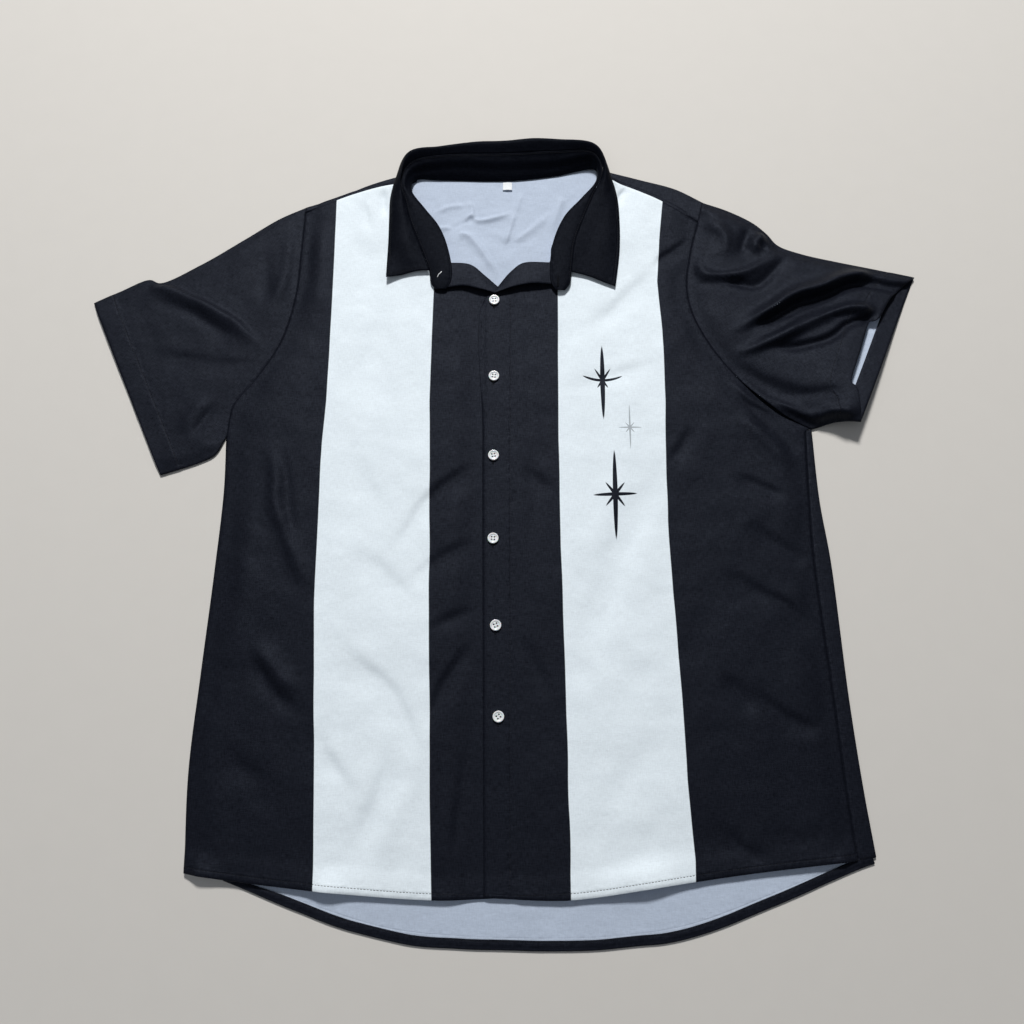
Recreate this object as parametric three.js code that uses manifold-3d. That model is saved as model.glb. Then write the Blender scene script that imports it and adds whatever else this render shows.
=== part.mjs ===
// A short-sleeved bowling shirt, buttoned and laid flat on its back, collar open.
// Millimetres. +Z is up from the surface it lies on, +Y runs from hem to collar and
// +X is the side of the wearer's left arm. Left and right are the wearer's own.
// Every cut piece is its own solid, one cloth wall thick, stacked as the layers lie.

import * as THREE from 'three';
import Module from 'manifold-3d';
import { mergeVertices } from 'three/addons/utils/BufferGeometryUtils.js';

const wasm = await Module();
wasm.setup();

// ---- driving dimensions ---------------------------------------------------------------

const CLOTH = 1.2; // wall of one layer of cloth
const GAP = 0.3; // between pieces that touch
const LAYER = CLOTH + GAP; // from one layer to the next
const LOWER_MIDDLE = CLOTH / 2; // middle of the wall that rests on the surface
const UPPER_MIDDLE = LOWER_MIDDLE + LAYER; // middle of the wall that lies on it
const PLACKET_INNER = 14; // the left front starts to drop off the right one here
const PLACKET_DROP = 12; // and has come down this much further on
const NECK_LIFT = { height: 4.5, reach: 12, near: 6, far: 32 }; // the neckline's roll, none at the point
const HEM_LIFT = { height: 1.6, full: 10, reach: 26 }; // a turned hem is three layers thick
const LAP = { middle: -10, calm: 16, free: 44 }; // the fronts lie quiet where they lap
const CUFF_LIFT = { height: 16, from: 0.05 }; // the left cuff's lower corner, off the surface
const FOLD_INSET = 1; // where a flattened tube starts to turn over
const HEM_BAND = 1.0; // wall of the turned-in hem bands
const LEFT_CUFF_BAND = {
  width: 19, inset: 0.5, start: 3, gap: 0.5, room: 1.6, roomFrom: 0.6, roomFull: 0.85,
};
const LEG_LENGTH = 12; // part of a wrapped strip that lies under
const ARMHOLE_GAP = 0.6; // from a sleeve's end to the armhole it is sewn to

const BUTTON = { radius: 5.75, edge: 0.5, rim: 1.1, thickness: 2.6, dish: 0.8, hole: 0.75, pitch: 2.8 };
const BUTTON_COUNT = 6;
const BUTTON_TOP = 229.5;
const BUTTON_SPACING = 88;
const BUTTON_LINE = { x: -12, drift: 6, from: 4 }; // the lower ones stray towards the left side
const BUTTON_PROBES = 12; // places round a button's rim where the cloth under it is felt
const NECK_BUTTON = { x: -70, y: 252, z: 6.4 }; // hidden under the stand's right tab
const LABEL = { x: 2, y: 371.5, width: 10, height: 10, wall: 1 };

// ---- outlines, each a short run of points from the hem up or from the neck out ---------

const FRONT_HEM = [
  [-295, -352], [-254, -358], [-175, -367], [-67, -375], [60, -375], [141, -364], [229, -352], [326, -341],
];
const BACK_HEM = [
  [-295, -352], [-259, -358], [-185, -387], [-107, -410], [-40, -417], [55, -419], [114, -416],
  [171, -407], [246, -381], [327, -348], [344, -338],
];
const RIGHT_SIDE = [[-295, -352], [-299, -262], [-295, -168], [-290, -70], [-287, 17], [-289, 74]];
const LEFT_EDGE = [[344, -338], [338, -278], [332, -194], [326, -57], [320, 6], [318, 83]];
const LEFT_SEAM = [[326, -341], [321, -270], [317, -194], [309, -57], [309, 6], [311, 80]];
const RIGHT_ARMHOLE = [
  [-289, 74], [-284, 110], [-264, 138], [-239, 182], [-226, 236], [-223, 290], [-221, 338],
];
const LEFT_ARMHOLE = [
  [318, 83], [286, 101], [247, 138], [219, 176], [201, 214], [196, 246], [201, 284], [212, 326],
];
const RIGHT_SHOULDER_EDGE = [[-221, 345], [-187, 357], [-150, 373], [-116, 384]];
const RIGHT_SHOULDER_SEAM = [[-221, 338], [-187, 352], [-150, 367], [-117, 378]];
const LEFT_SHOULDER_EDGE = [[219, 351], [189, 368], [150, 380], [112, 391]];
const LEFT_SHOULDER_SEAM = [[212, 326], [174, 350], [140, 367], [112, 378]];
const BACK_NECK = [[-108, 385], [-84, 381], [-50, 379], [0, 379], [50, 384], [84, 393], [108, 394]];
const V_POINT = [-8, 243]; // where the neck opening ends
const RIGHT_NECKLINE = [
  V_POINT, [-22, 253], [-36, 266], [-58, 270], [-65, 297], [-75, 318], [-90, 338], [-104, 362], [-117, 378],
];
const LEFT_NECKLINE = [
  V_POINT, [7, 260], [18, 269], [47, 272], [50, 291], [57, 310], [71, 338], [92, 360], [112, 378],
];
const PLACKET_EDGE = [[-19, -373], [-21, -194], [-23, 6], [-23.5, 78]]; // free edge of the left front
const PLACKET_TOP = [-24, 228];
const UNDER_EDGE = [[4, -373], [4, 78]]; // edge of the right front, hidden under the left one
const BACK_BAND = {
  outer: [
    [-256, -358.6], [-185, -386], [-107, -409], [-40, -416], [55, -418], [114, -415], [171, -406],
    [246, -380], [318, -350.5],
  ],
  inner: [
    [-246, -352], [-181, -378], [-105, -400], [-39, -407], [54, -409], [111, -406], [167, -397],
    [242, -372], [310, -343],
  ],
};

const RIGHT_SLEEVE = {
  top: [
    [-221, 345], [-249, 331], [-285, 306], [-332, 274], [-374, 252], [-386, 256], [-416, 242], [-443, 228],
  ],
  bottom: [[-289, 74], [-300, 52], [-353, 33]],
  cuff: [[-353, 33], [-398, 130], [-443, 228]],
  upperCuff: [[-353, 33], [-398, 130], [-443, 228]],
  stations: 10,
  bandRoom: 0,
};
const LEFT_SLEEVE = {
  top: [[219, 351], [245, 341], [272, 326], [287, 312], [298, 298], [321, 288], [363, 277], [443, 258]],
  bottom: [[318, 83], [340, 88], [364, 85]],
  cuff: [[364, 85], [404, 172], [443, 258]],
  upperCuff: [[364, 85], [360, 104], [359, 128], [383, 192], [399, 205], [414, 229], [443, 258]],
  stations: 13,
  bandRoom: LEFT_CUFF_BAND.room,
};

// The collar, section by section from the right tab round the back of the neck to the
// left tab: the line sewn to the neck, the seam from stand to fall, the crown of the
// fall, the bulge outside it and the fall's free edge.
const COLLAR = [
  { neck: [-64, 241, 8.6], seam: [-75, 241, 8.4] },
  { neck: [-59.5, 248, 9.6], seam: [-80, 248, 9] },
  {
    neck: [-58, 263, 10.6], seam: [-82, 263, 9.6],
    crown: [-96, 262, 11.5], bulge: [-111, 258, 10.5], edge: [-124, 254, 9],
  },
  {
    neck: [-65, 297, 11], seam: [-95, 298, 10],
    crown: [-107, 298, 13], bulge: [-117, 296, 11], edge: [-125, 294, 7],
  },
  {
    neck: [-75, 318, 11], seam: [-104, 322, 11],
    crown: [-112, 324, 14], bulge: [-119, 325, 12], edge: [-125, 326, 7],
  },
  {
    neck: [-90, 338, 11], seam: [-110, 348, 12],
    crown: [-116, 351, 16], bulge: [-122, 354, 13], edge: [-126, 355, 7],
  },
  {
    neck: [-104, 361, 9], seam: [-116, 371, 15],
    crown: [-120, 376, 20], bulge: [-125, 382, 15], edge: [-127, 382, 6],
  },
  {
    neck: [-98, 378, 4.5], seam: [-104, 392, 18],
    crown: [-108, 400, 24], bulge: [-116, 402, 14], edge: [-120, 396, 1.3],
  },
  {
    neck: [-70, 379, 2.4], seam: [-70, 399, 20],
    crown: [-71, 407, 25], bulge: [-73, 411, 14], edge: [-74, 396, 1.1],
  },
  {
    neck: [0, 378, 2.3], seam: [0, 401, 20],
    crown: [0, 413, 26], bulge: [0, 418.5, 14], edge: [0, 400, 1.1],
  },
  {
    neck: [55, 384, 2.4], seam: [55, 404, 20],
    crown: [56, 415, 26], bulge: [57, 418.3, 14], edge: [56, 403, 1.1],
  },
  {
    neck: [92, 393, 4], seam: [97, 403, 19],
    crown: [101, 409, 24.5], bulge: [109, 411, 14], edge: [110, 402, 1.3],
  },
  {
    neck: [97, 372, 9], seam: [107, 384, 16],
    crown: [112, 388, 20], bulge: [118, 390, 15], edge: [120, 385, 7],
  },
  {
    neck: [84, 350, 11], seam: [96, 354, 12],
    crown: [108, 358, 14], bulge: [117, 358, 11], edge: [123, 357, 7],
  },
  {
    neck: [66, 329, 11], seam: [85, 326, 11],
    crown: [100, 328, 11], bulge: [114, 327, 10.5], edge: [125, 325, 7],
  },
  {
    neck: [52, 297, 11], seam: [75, 296, 11],
    crown: [92, 297, 10], bulge: [109, 294, 10], edge: [124, 290, 7],
  },
  {
    neck: [48, 262, 10.8], seam: [71, 262, 10],
    crown: [86, 258, 9.5], bulge: [103, 251, 9], edge: [118, 245, 8],
  },
  { neck: [49.5, 247, 10.2], seam: [69, 247, 9.4] },
  { neck: [54, 239.5, 9.4], seam: [64, 239.5, 9] },
];
const BACK_BAND_PIECES = 22;
const STAND_PIECES = 36;
const FALL_PIECES = 28;
const FALL_ACROSS = 7;
const STAND_ACROSS = 3;
const STAND_CROWN = 1.2; // the stand is this much fuller than straight
const FALL_GAP = 0.85; // from the seam to the fall, clear of the stand's own wall

const FACING_PIECES = 9;
const FACING_ROWS = [0, 0.3, 0.65, 1]; // from the free edge to the fold

// The fronts' own edge rolled out below the neck: fold line above, free edge below.
const RIGHT_FACING = {
  fold: [[-57, 268, 8.4], [-36, 265, 8.4], [-22, 252, 6.8], [-9, 243, 5.6]],
  edge: [[-58, 243, 8], [-44, 245.5, 7.6], [-28, 243, 7.2], [-12, 238.5, 6.4]],
};
const LEFT_FACING = {
  fold: [[-7, 243, 5.6], [7, 259, 8.5], [18, 268, 9.6], [46, 270, 8.6]],
  edge: [[-10.5, 237.5, 6.6], [8, 242, 8.4], [27, 244, 9], [48, 241.5, 8.8]],
};

// The largest folds of the upper layers: a line over each crest, how high it stands,
// how far it reaches either side and the share of its length that fades at each end.
const FOLDS = [
  { path: [[-392, 262], [-327, 226], [-245, 166]], height: 5, reach: 9, fade: [0.15, 0.5] },
  { path: [[-360, 168], [-300, 158], [-240, 156]], height: 2.5, reach: 16, fade: [0.4, 0.5] },
  { path: [[-296, 118], [-312, 96], [-324, 66]], height: 3, reach: 8, fade: [0.3, 0.3] },
  { path: [[-238, 318], [-240, 262], [-258, 205]], height: 3, reach: 9, fade: [0.3, 0.5] },
  { path: [[222, 176], [300, 226], [428, 262]], height: 12, reach: 13, fade: [0.5, 0.05] },
  { path: [[232, 158], [305, 196], [400, 220]], height: 10, reach: 12, fade: [0.5, 0.05] },
  { path: [[212, 270], [258, 252], [306, 286]], height: 7, reach: 9, fade: [0.4, 0.3] },
  { path: [[214, 330], [238, 305], [240, 275]], height: 6, reach: 8, fade: [0.4, 0.4] },
  { path: [[282, 318], [270, 300], [262, 286]], height: 6, reach: 8, fade: [0.2, 0.4] },
  { path: [[228, 160], [290, 108], [352, 96]], height: 8, reach: 11, fade: [0.4, 0.2] },
  { path: [[232, 118], [268, 84], [306, 40]], height: 5, reach: 9, fade: [0.3, 0.4] },
  { path: [[-76, 10], [-108, -40], [-150, -66]], height: 2.5, reach: 13, fade: [0.4, 0.5] },
  { path: [[-160, -150], [-120, -195], [-90, -235]], height: 2.5, reach: 14, fade: [0.4, 0.5] },
  { path: [[-175, -232], [-140, -270], [-122, -318]], height: 2.5, reach: 15, fade: [0.4, 0.4] },
  { path: [[182, 60], [128, -56], [86, -196]], height: 3, reach: 16, fade: [0.3, 0.5] },
  { path: [[176, 284], [130, 238], [72, 200]], height: 2.5, reach: 14, fade: [0.3, 0.5] },
  { path: [[-254, 90], [-224, -30], [-196, -110]], height: 3, reach: 14, fade: [0.4, 0.5] },
  { path: [[-246, -134], [-214, -170], [-190, -215]], height: 2.5, reach: 14, fade: [0.4, 0.5] },
  { path: [[222, -66], [262, -84], [304, -120]], height: 2.5, reach: 13, fade: [0.4, 0.4] },
  { path: [[212, -160], [250, -190], [300, -214]], height: 2.5, reach: 13, fade: [0.4, 0.4] },
  { path: [[-295, -330], [-294, -352], [-292, -380]], height: 6, reach: 26, fade: [0.5, 0] },
  { path: [[-150, -345], [-147, -362], [-146, -390]], height: 3, reach: 22, fade: [0.5, 0] },
  { path: [[0, -350], [0, -366], [0, -395]], height: 2.5, reach: 24, fade: [0.5, 0] },
  { path: [[132, -335], [136, -355], [138, -385]], height: 3.5, reach: 30, fade: [0.5, 0] },
  { path: [[322, -322], [326, -342], [330, -362]], height: 5, reach: 26, fade: [0.5, 0] },
];

// ---- small geometry tools ---------------------------------------------------------------

const vector = ([x, y, z = 0]) => new THREE.Vector3(x, y, z);

/** Evenly spaced points on a smooth line through a few given ones. */
function smoothLine(points, pieces) {
  return new THREE.CatmullRomCurve3(points.map(vector), false, 'centripetal').getSpacedPoints(pieces);
}

/** Points on a smooth line that passes the given ones at equal steps. */
function steppedLine(points, pieces) {
  return new THREE.CatmullRomCurve3(points.map(vector), false, 'centripetal').getPoints(pieces);
}

/** A smooth ramp from 0 at low to 1 at high. */
function ramp(value, low, high) {
  return THREE.MathUtils.smoothstep(value, low, high);
}

/** Nearest distance from a point to a run of points, and how far along it that is, 0 to 1. */
function nearestOn(line, x, y) {
  let best = { distance: Infinity, along: 0 };
  for (let i = 0; i < line.length - 1; i += 1) {
    const dx = line[i + 1].x - line[i].x;
    const dy = line[i + 1].y - line[i].y;
    const share = ((x - line[i].x) * dx + (y - line[i].y) * dy) / (dx * dx + dy * dy);
    const part = THREE.MathUtils.clamp(share, 0, 1);
    const distance = Math.hypot(x - line[i].x - part * dx, y - line[i].y - part * dy);
    if (distance < best.distance) best = { distance, along: (i + part) / (line.length - 1) };
  }
  return best;
}

/** A grid of points inside four border lines, bottom and top left to right, sides upward. */
function fillBorders(bottom, top, left, right) {
  const columns = bottom.length - 1;
  const rows = left.length - 1;
  return left.map((start, j) => bottom.map((low, i) => {
    const s = i / columns;
    const t = j / rows;
    return new THREE.Vector3()
      .addScaledVector(low, 1 - t).addScaledVector(top[i], t)
      .addScaledVector(start, 1 - s).addScaledVector(right[j], s)
      .addScaledVector(bottom[0], -(1 - s) * (1 - t)).addScaledVector(bottom[columns], -s * (1 - t))
      .addScaledVector(top[0], -(1 - s) * t).addScaledVector(top[columns], -s * t);
  }));
}

/** The closed body between two equal grids; ring joins the last column to the first. */
function bodyBetween(outer, inner, ring = false) {
  const rows = outer.length;
  const columns = outer[0].length;
  const positions = [...outer.flat(), ...inner.flat()].flatMap((p) => [p.x, p.y, p.z]);
  const index = [];
  const at = (side, j, i) => side * rows * columns + j * columns + (i % columns);
  const quad = (a, b, c, d) => index.push(a, b, c, a, c, d);
  const lastColumn = ring ? columns : columns - 1;
  for (let j = 0; j < rows - 1; j += 1) {
    for (let i = 0; i < lastColumn; i += 1) {
      quad(at(0, j, i), at(0, j, i + 1), at(0, j + 1, i + 1), at(0, j + 1, i));
      quad(at(1, j, i), at(1, j + 1, i), at(1, j + 1, i + 1), at(1, j, i + 1));
    }
  }
  for (let i = 0; i < lastColumn; i += 1) {
    quad(at(1, 0, i), at(1, 0, i + 1), at(0, 0, i + 1), at(0, 0, i));
    quad(at(0, rows - 1, i), at(0, rows - 1, i + 1), at(1, rows - 1, i + 1), at(1, rows - 1, i));
  }
  if (!ring) {
    for (let j = 0; j < rows - 1; j += 1) {
      quad(at(0, j, 0), at(0, j + 1, 0), at(1, j + 1, 0), at(1, j, 0));
      const last = columns - 1;
      quad(at(1, j, last), at(1, j + 1, last), at(0, j + 1, last), at(0, j, last));
    }
  }
  const geometry = new THREE.BufferGeometry();
  geometry.setAttribute('position', new THREE.Float32BufferAttribute(positions, 3));
  geometry.setIndex(index);
  return geometry;
}

/** A wall of even thickness, standing straight up and down about a grid of middle points. */
function layerOf(grid, wall) {
  const moved = (dz) => grid.map((line) => line.map((p) => new THREE.Vector3(p.x, p.y, p.z + dz)));
  return bodyBetween(moved(wall / 2), moved(-wall / 2));
}

/** A wall of even thickness, square to a grid of middle points wherever it turns. */
function wallAbout(grid, wall) {
  const rows = grid.length - 1;
  const columns = grid[0].length - 1;
  const normalAt = (j, i) => {
    const across = grid[j][Math.min(i + 1, columns)].clone().sub(grid[j][Math.max(i - 1, 0)]);
    const along = grid[Math.min(j + 1, rows)][i].clone().sub(grid[Math.max(j - 1, 0)][i]);
    return across.cross(along).normalize();
  };
  const shift = (p, j, i, distance) => p.clone().addScaledVector(normalAt(j, i), distance);
  const moved = (distance) => grid.map((line, j) => line.map((p, i) => shift(p, j, i, distance)));
  return bodyBetween(moved(wall / 2), moved(-wall / 2));
}

/** A geometry as a manifold solid. */
function solidOf(geometry) {
  const bare = geometry.clone();
  bare.deleteAttribute('normal');
  bare.deleteAttribute('uv');
  const merged = mergeVertices(bare, 1e-3);
  return new wasm.Manifold(new wasm.Mesh({
    numProp: 3,
    vertProperties: new Float32Array(merged.attributes.position.array),
    triVerts: new Uint32Array(merged.index.array),
  }));
}

/** A manifold solid as a geometry. */
function geometryOf(solid) {
  const mesh = solid.getMesh();
  const geometry = new THREE.BufferGeometry();
  geometry.setAttribute('position', new THREE.BufferAttribute(mesh.vertProperties, 3));
  geometry.setIndex(new THREE.BufferAttribute(mesh.triVerts, 1));
  return geometry;
}

// ---- how high the upper layers lie ------------------------------------------------------

const foldLines = FOLDS.map((fold) => ({ ...fold, line: smoothLine(fold.path, 12) }));
const necklines = [RIGHT_NECKLINE, LEFT_NECKLINE].map((points) => smoothLine(points, 24));
const frontHemLine = smoothLine(FRONT_HEM, 24);

/** How far the folds lift the upper layer at a place. */
function foldLift(x, y) {
  const loose = ramp(Math.abs(x - LAP.middle), LAP.calm, LAP.free);
  return loose * foldLines.reduce((sum, { line, height, reach, fade }) => {
    const { distance, along } = nearestOn(line, x, y);
    const start = fade[0] > 0 ? ramp(along, 0, fade[0]) : 1;
    const end = fade[1] > 0 ? ramp(1 - along, 0, fade[1]) : 1;
    return sum + height * start * end * Math.exp(-((distance / reach) ** 2));
  }, 0);
}

/** How far the rolled neckline lifts the fronts at a place. */
function neckLift(x, y) {
  const distance = Math.min(...necklines.map((line) => nearestOn(line, x, y).distance));
  const fromPoint = Math.hypot(x - V_POINT[0], y - V_POINT[1]);
  const grown = ramp(fromPoint, NECK_LIFT.near, NECK_LIFT.far);
  return NECK_LIFT.height * grown * Math.exp(-((distance / NECK_LIFT.reach) ** 2));
}

/** How far the turned hem lifts the fronts at a place. */
function hemLift(x, y) {
  const { distance } = nearestOn(frontHemLine, x, y);
  return HEM_LIFT.height * (1 - ramp(distance, HEM_LIFT.full, HEM_LIFT.reach));
}

/** Middle of the right front, which lies on the back. */
const rightFrontHeight = (x, y) => UPPER_MIDDLE + foldLift(x, y) + neckLift(x, y) + hemLift(x, y);

/** Middle of the left front, which laps over the right one at the placket. */
function leftFrontHeight(x, y) {
  return rightFrontHeight(x, y) + LAYER * (1 - ramp(x, PLACKET_INNER, PLACKET_INNER + PLACKET_DROP));
}

// ---- seam lines that two pieces share ---------------------------------------------------

const ROWS = { side: 13, toNeck: 7, neckline: 8 }; // rows of the fronts, hem to underarm and up
const ARM_ROWS = ROWS.toNeck + ROWS.neckline;
const FRONT_COLUMNS = 11;

const rightArmhole = smoothLine(RIGHT_ARMHOLE, ARM_ROWS);
const leftArmhole = smoothLine(LEFT_ARMHOLE, ARM_ROWS);
const leftSeam = smoothLine(LEFT_SEAM, ROWS.side);
const leftEdge = smoothLine(LEFT_EDGE, ROWS.side);
const rightShoulderSeam = smoothLine(RIGHT_SHOULDER_SEAM, FRONT_COLUMNS);
const rightShoulderEdge = smoothLine(RIGHT_SHOULDER_EDGE, FRONT_COLUMNS);
const leftShoulderSeam = smoothLine(LEFT_SHOULDER_SEAM, FRONT_COLUMNS);
const leftShoulderEdge = smoothLine(LEFT_SHOULDER_EDGE, FRONT_COLUMNS);

// ---- the pieces ---------------------------------------------------------------------------

/** The middle of a front, from its hem, its outer border and its placket and neck border. */
function frontPanel(hem, outer, inner, shoulder, height, outerFirst) {
  const [left, right] = outerFirst ? [outer, inner] : [inner, outer];
  const grid = fillBorders(hem, shoulder, left, right);
  grid.flat().forEach((p) => { p.z = height(p.x, p.y); });
  return layerOf(grid, CLOTH);
}

/** The right front, which carries the buttons and lies under the placket. */
function rightFront() {
  const hemCurve = smoothLine([...FRONT_HEM.slice(0, 4), UNDER_EDGE[0]], FRONT_COLUMNS);
  const side = smoothLine(RIGHT_SIDE, ROWS.side);
  const lower = smoothLine(UNDER_EDGE, ROWS.side);
  const middle = smoothLine([UNDER_EDGE[1], V_POINT], ROWS.toNeck);
  const neck = smoothLine(RIGHT_NECKLINE, ROWS.neckline);
  const outer = [...side, ...rightArmhole.slice(1)];
  const inner = [...lower, ...middle.slice(1), ...neck.slice(1)];
  return frontPanel(hemCurve, outer, inner, rightShoulderSeam, rightFrontHeight, true);
}

/** The left front, which laps over the right one and ends at its side seam. */
function leftFront() {
  const hemCurve = smoothLine([PLACKET_EDGE[0], ...FRONT_HEM.slice(4)], FRONT_COLUMNS);
  const lower = smoothLine(PLACKET_EDGE, ROWS.side);
  const middle = smoothLine([PLACKET_EDGE.at(-1), PLACKET_TOP, V_POINT], ROWS.toNeck);
  const neck = smoothLine(LEFT_NECKLINE, ROWS.neckline);
  const inner = [...lower, ...middle.slice(1), ...neck.slice(1)];
  const outer = [...leftSeam, ...leftArmhole.slice(1)];
  const shoulder = [...leftShoulderSeam].reverse();
  return frontPanel(hemCurve, outer, inner, shoulder, leftFrontHeight, false);
}

/** A strip of the back that comes over a fold at the edge and lies on top as far as a seam. */
function wrappedStrip(edge, seam) {
  const sections = edge.map((rim, k) => {
    const inward = seam[k].clone().sub(rim).setZ(0);
    const width = inward.length() - GAP;
    inward.normalize();
    const at = (distance, z) => rim.clone().addScaledVector(inward, distance).setZ(z);
    const fold = CLOTH / 2;
    return [
      at(width, UPPER_MIDDLE), at(fold + FOLD_INSET, UPPER_MIDDLE),
      at(fold, (UPPER_MIDDLE + LOWER_MIDDLE) / 2),
      at(fold + FOLD_INSET, LOWER_MIDDLE), at(LEG_LENGTH, LOWER_MIDDLE),
    ];
  });
  return wallAbout(sections, CLOTH);
}

/** The back: one flat layer, wrapped forward over both shoulders and round the left side. */
function back() {
  const inset = (edge, seam) => edge.map((rim, k) => {
    const inward = seam[k].clone().sub(rim).setZ(0).normalize();
    return rim.clone().addScaledVector(inward, CLOTH + FOLD_INSET);
  });
  const outline = [
    ...smoothLine(BACK_HEM, 30),
    ...inset(leftEdge, leftSeam).slice(1),
    ...leftArmhole.slice(1),
    ...inset(leftShoulderEdge, leftShoulderSeam),
    ...smoothLine(BACK_NECK, 12).reverse(),
    ...inset(rightShoulderEdge, rightShoulderSeam).reverse(),
    ...[...rightArmhole].reverse(),
    ...smoothLine(RIGHT_SIDE, ROWS.side).reverse().slice(1, -1),
  ];
  const shape = new THREE.Shape(outline.map((p) => new THREE.Vector2(p.x, p.y)));
  const flat = new THREE.ExtrudeGeometry(shape, { depth: CLOTH, bevelEnabled: false });
  const strips = [
    wrappedStrip(leftEdge, leftSeam),
    wrappedStrip(leftShoulderEdge, leftShoulderSeam),
    wrappedStrip([...rightShoulderEdge].reverse(), [...rightShoulderSeam].reverse()),
  ];
  return geometryOf(strips.reduce((solid, strip) => solid.add(solidOf(strip)), solidOf(flat)));
}

/** A sleeve as a flattened tube: an upper and a lower wall that turn into each other at both edges. */
function sleeve(form, armhole, lift) {
  const stations = form.stations;
  const top = smoothLine(form.top, stations);
  const bottom = smoothLine(form.bottom, stations);
  const armLine = [...armhole, top[0].clone()];
  const spread = armLine.length - 1;
  const upper = fillBorders(armLine, smoothLine(form.upperCuff, spread), bottom, top);
  const lower = fillBorders(armLine, smoothLine(form.cuff, spread), bottom, top);
  const start = armLine.map((p, i) => {
    const along = armLine[Math.min(i + 1, spread)].clone().sub(armLine[Math.max(i - 1, 0)]);
    const away = new THREE.Vector3(-along.y, along.x, 0).normalize();
    const side = Math.sign(form.cuff[0][0]) * Math.sign(away.x);
    return p.clone().addScaledVector(away, side * ARMHOLE_GAP);
  });
  [upper, lower].forEach((grid) => { grid[0] = start; });
  const rings = { outer: [], inner: [] };
  for (let j = 0; j <= stations; j += 1) {
    const edges = [upper[j][0], upper[j][spread]];
    const inward = upper[j][1].clone().sub(edges[0]).normalize();
    const outward = upper[j][spread - 1].clone().sub(edges[1]).normalize();
    const along = j / stations;
    const across = (i) => 1 - i / spread;
    const low = (i) => LOWER_MIDDLE + lift(along, across(i));
    const room = form.bandRoom * ramp(along, LEFT_CUFF_BAND.roomFrom, LEFT_CUFF_BAND.roomFull);
    const high = (p, i) => LAYER + low(i) + foldLift(p.x, p.y) + room;
    const fold = (end, wall) => {
      const direction = end === 0 ? inward : outward;
      const i = end === 0 ? 0 : spread;
      return edges[end].clone().addScaledVector(direction, wall).setZ(low(i) + LAYER / 2);
    };
    const turned = (end, wall, z) => {
      const direction = end === 0 ? inward : outward;
      return edges[end].clone().addScaledVector(direction, wall + FOLD_INSET).setZ(z);
    };
    const ringAt = (side) => {
      const half = (side * CLOTH) / 2;
      const wall = side > 0 ? 0 : CLOTH;
      const points = [fold(0, wall), turned(0, wall, low(0) + LAYER + half)];
      for (let i = 1; i < spread; i += 1) {
        points.push(upper[j][i].clone().setZ(high(upper[j][i], i) + half));
      }
      points.push(turned(1, wall, low(spread) + LAYER + half), fold(1, wall));
      points.push(turned(1, wall, low(spread) - half));
      for (let i = spread - 1; i > 0; i -= 1) {
        points.push(lower[j][i].clone().setZ(low(i) - half));
      }
      points.push(turned(0, wall, low(0) - half));
      return points;
    };
    rings.outer.push(ringAt(1));
    rings.inner.push(ringAt(-1));
  }
  return { rings, lower, low: (along, across) => LOWER_MIDDLE + lift(along, across) };
}

/** A sleeve's geometry, with its faces outward whichever side it is on. */
function sleeveBody({ rings }, mirrored) {
  const order = (grid) => (mirrored ? grid.map((ring) => [...ring].reverse()) : grid);
  return bodyBetween(order(rings.outer), order(rings.inner), true);
}

/** The back's narrow hem, turned in, which shows below the front. */
function backHemBand() {
  const height = CLOTH + GAP + HEM_BAND / 2;
  const grid = [BACK_BAND.outer, BACK_BAND.inner].map((points) => (
    smoothLine(points, BACK_BAND_PIECES).map((p) => p.setZ(height))
  ));
  return layerOf(grid, HEM_BAND);
}

/** The left cuff's hem, turned in, which shows where the upper layer has slipped back. */
function leftSleeveHemBand(shape) {
  const stations = shape.lower.length - 1;
  const spread = shape.lower[0].length - 1;
  const line = (distance) => {
    const points = [];
    for (let i = LEFT_CUFF_BAND.start; i < spread; i += 1) {
      const rim = shape.lower[stations][i];
      const inward = shape.lower[stations - 1][i].clone().sub(rim).setZ(0);
      const along = 1 - distance / inward.length() / stations;
      const height = shape.low(along, 1 - i / spread) + CLOTH / 2 + LEFT_CUFF_BAND.gap + HEM_BAND / 2;
      points.push(rim.clone().addScaledVector(inward.normalize(), distance).setZ(height));
    }
    return points;
  };
  return layerOf([line(LEFT_CUFF_BAND.inset), line(LEFT_CUFF_BAND.width)], HEM_BAND);
}

/** The collar's stand, open at the throat, with a rounded tab at each end. */
function collarStand() {
  const neck = steppedLine(COLLAR.map((row) => row.neck), STAND_PIECES);
  const seam = steppedLine(COLLAR.map((row) => row.seam), STAND_PIECES);
  const grid = neck.map((low, k) => Array.from({ length: STAND_ACROSS + 1 }, (_, i) => {
    const s = i / STAND_ACROSS;
    const point = low.clone().lerp(seam[k], s);
    point.z += STAND_CROWN * 4 * s * (1 - s);
    return point;
  }));
  return wallAbout(grid, CLOTH);
}

/** The collar's fall: it turns over at its crown and comes down outside the stand. */
function collarFall() {
  const rows = COLLAR.filter((row) => row.crown);
  const line = (name) => steppedLine(rows.map((row) => row[name]), FALL_PIECES);
  const [seam, crown, bulge, edge] = ['seam', 'crown', 'bulge', 'edge'].map(line);
  const grid = seam.map((start, k) => {
    const outward = crown[k].clone().sub(start).normalize();
    const section = [start.clone().addScaledVector(outward, FALL_GAP), crown[k], bulge[k], edge[k]];
    return new THREE.CatmullRomCurve3(section, false, 'centripetal').getSpacedPoints(FALL_ACROSS);
  });
  return wallAbout(grid, CLOTH);
}

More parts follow.
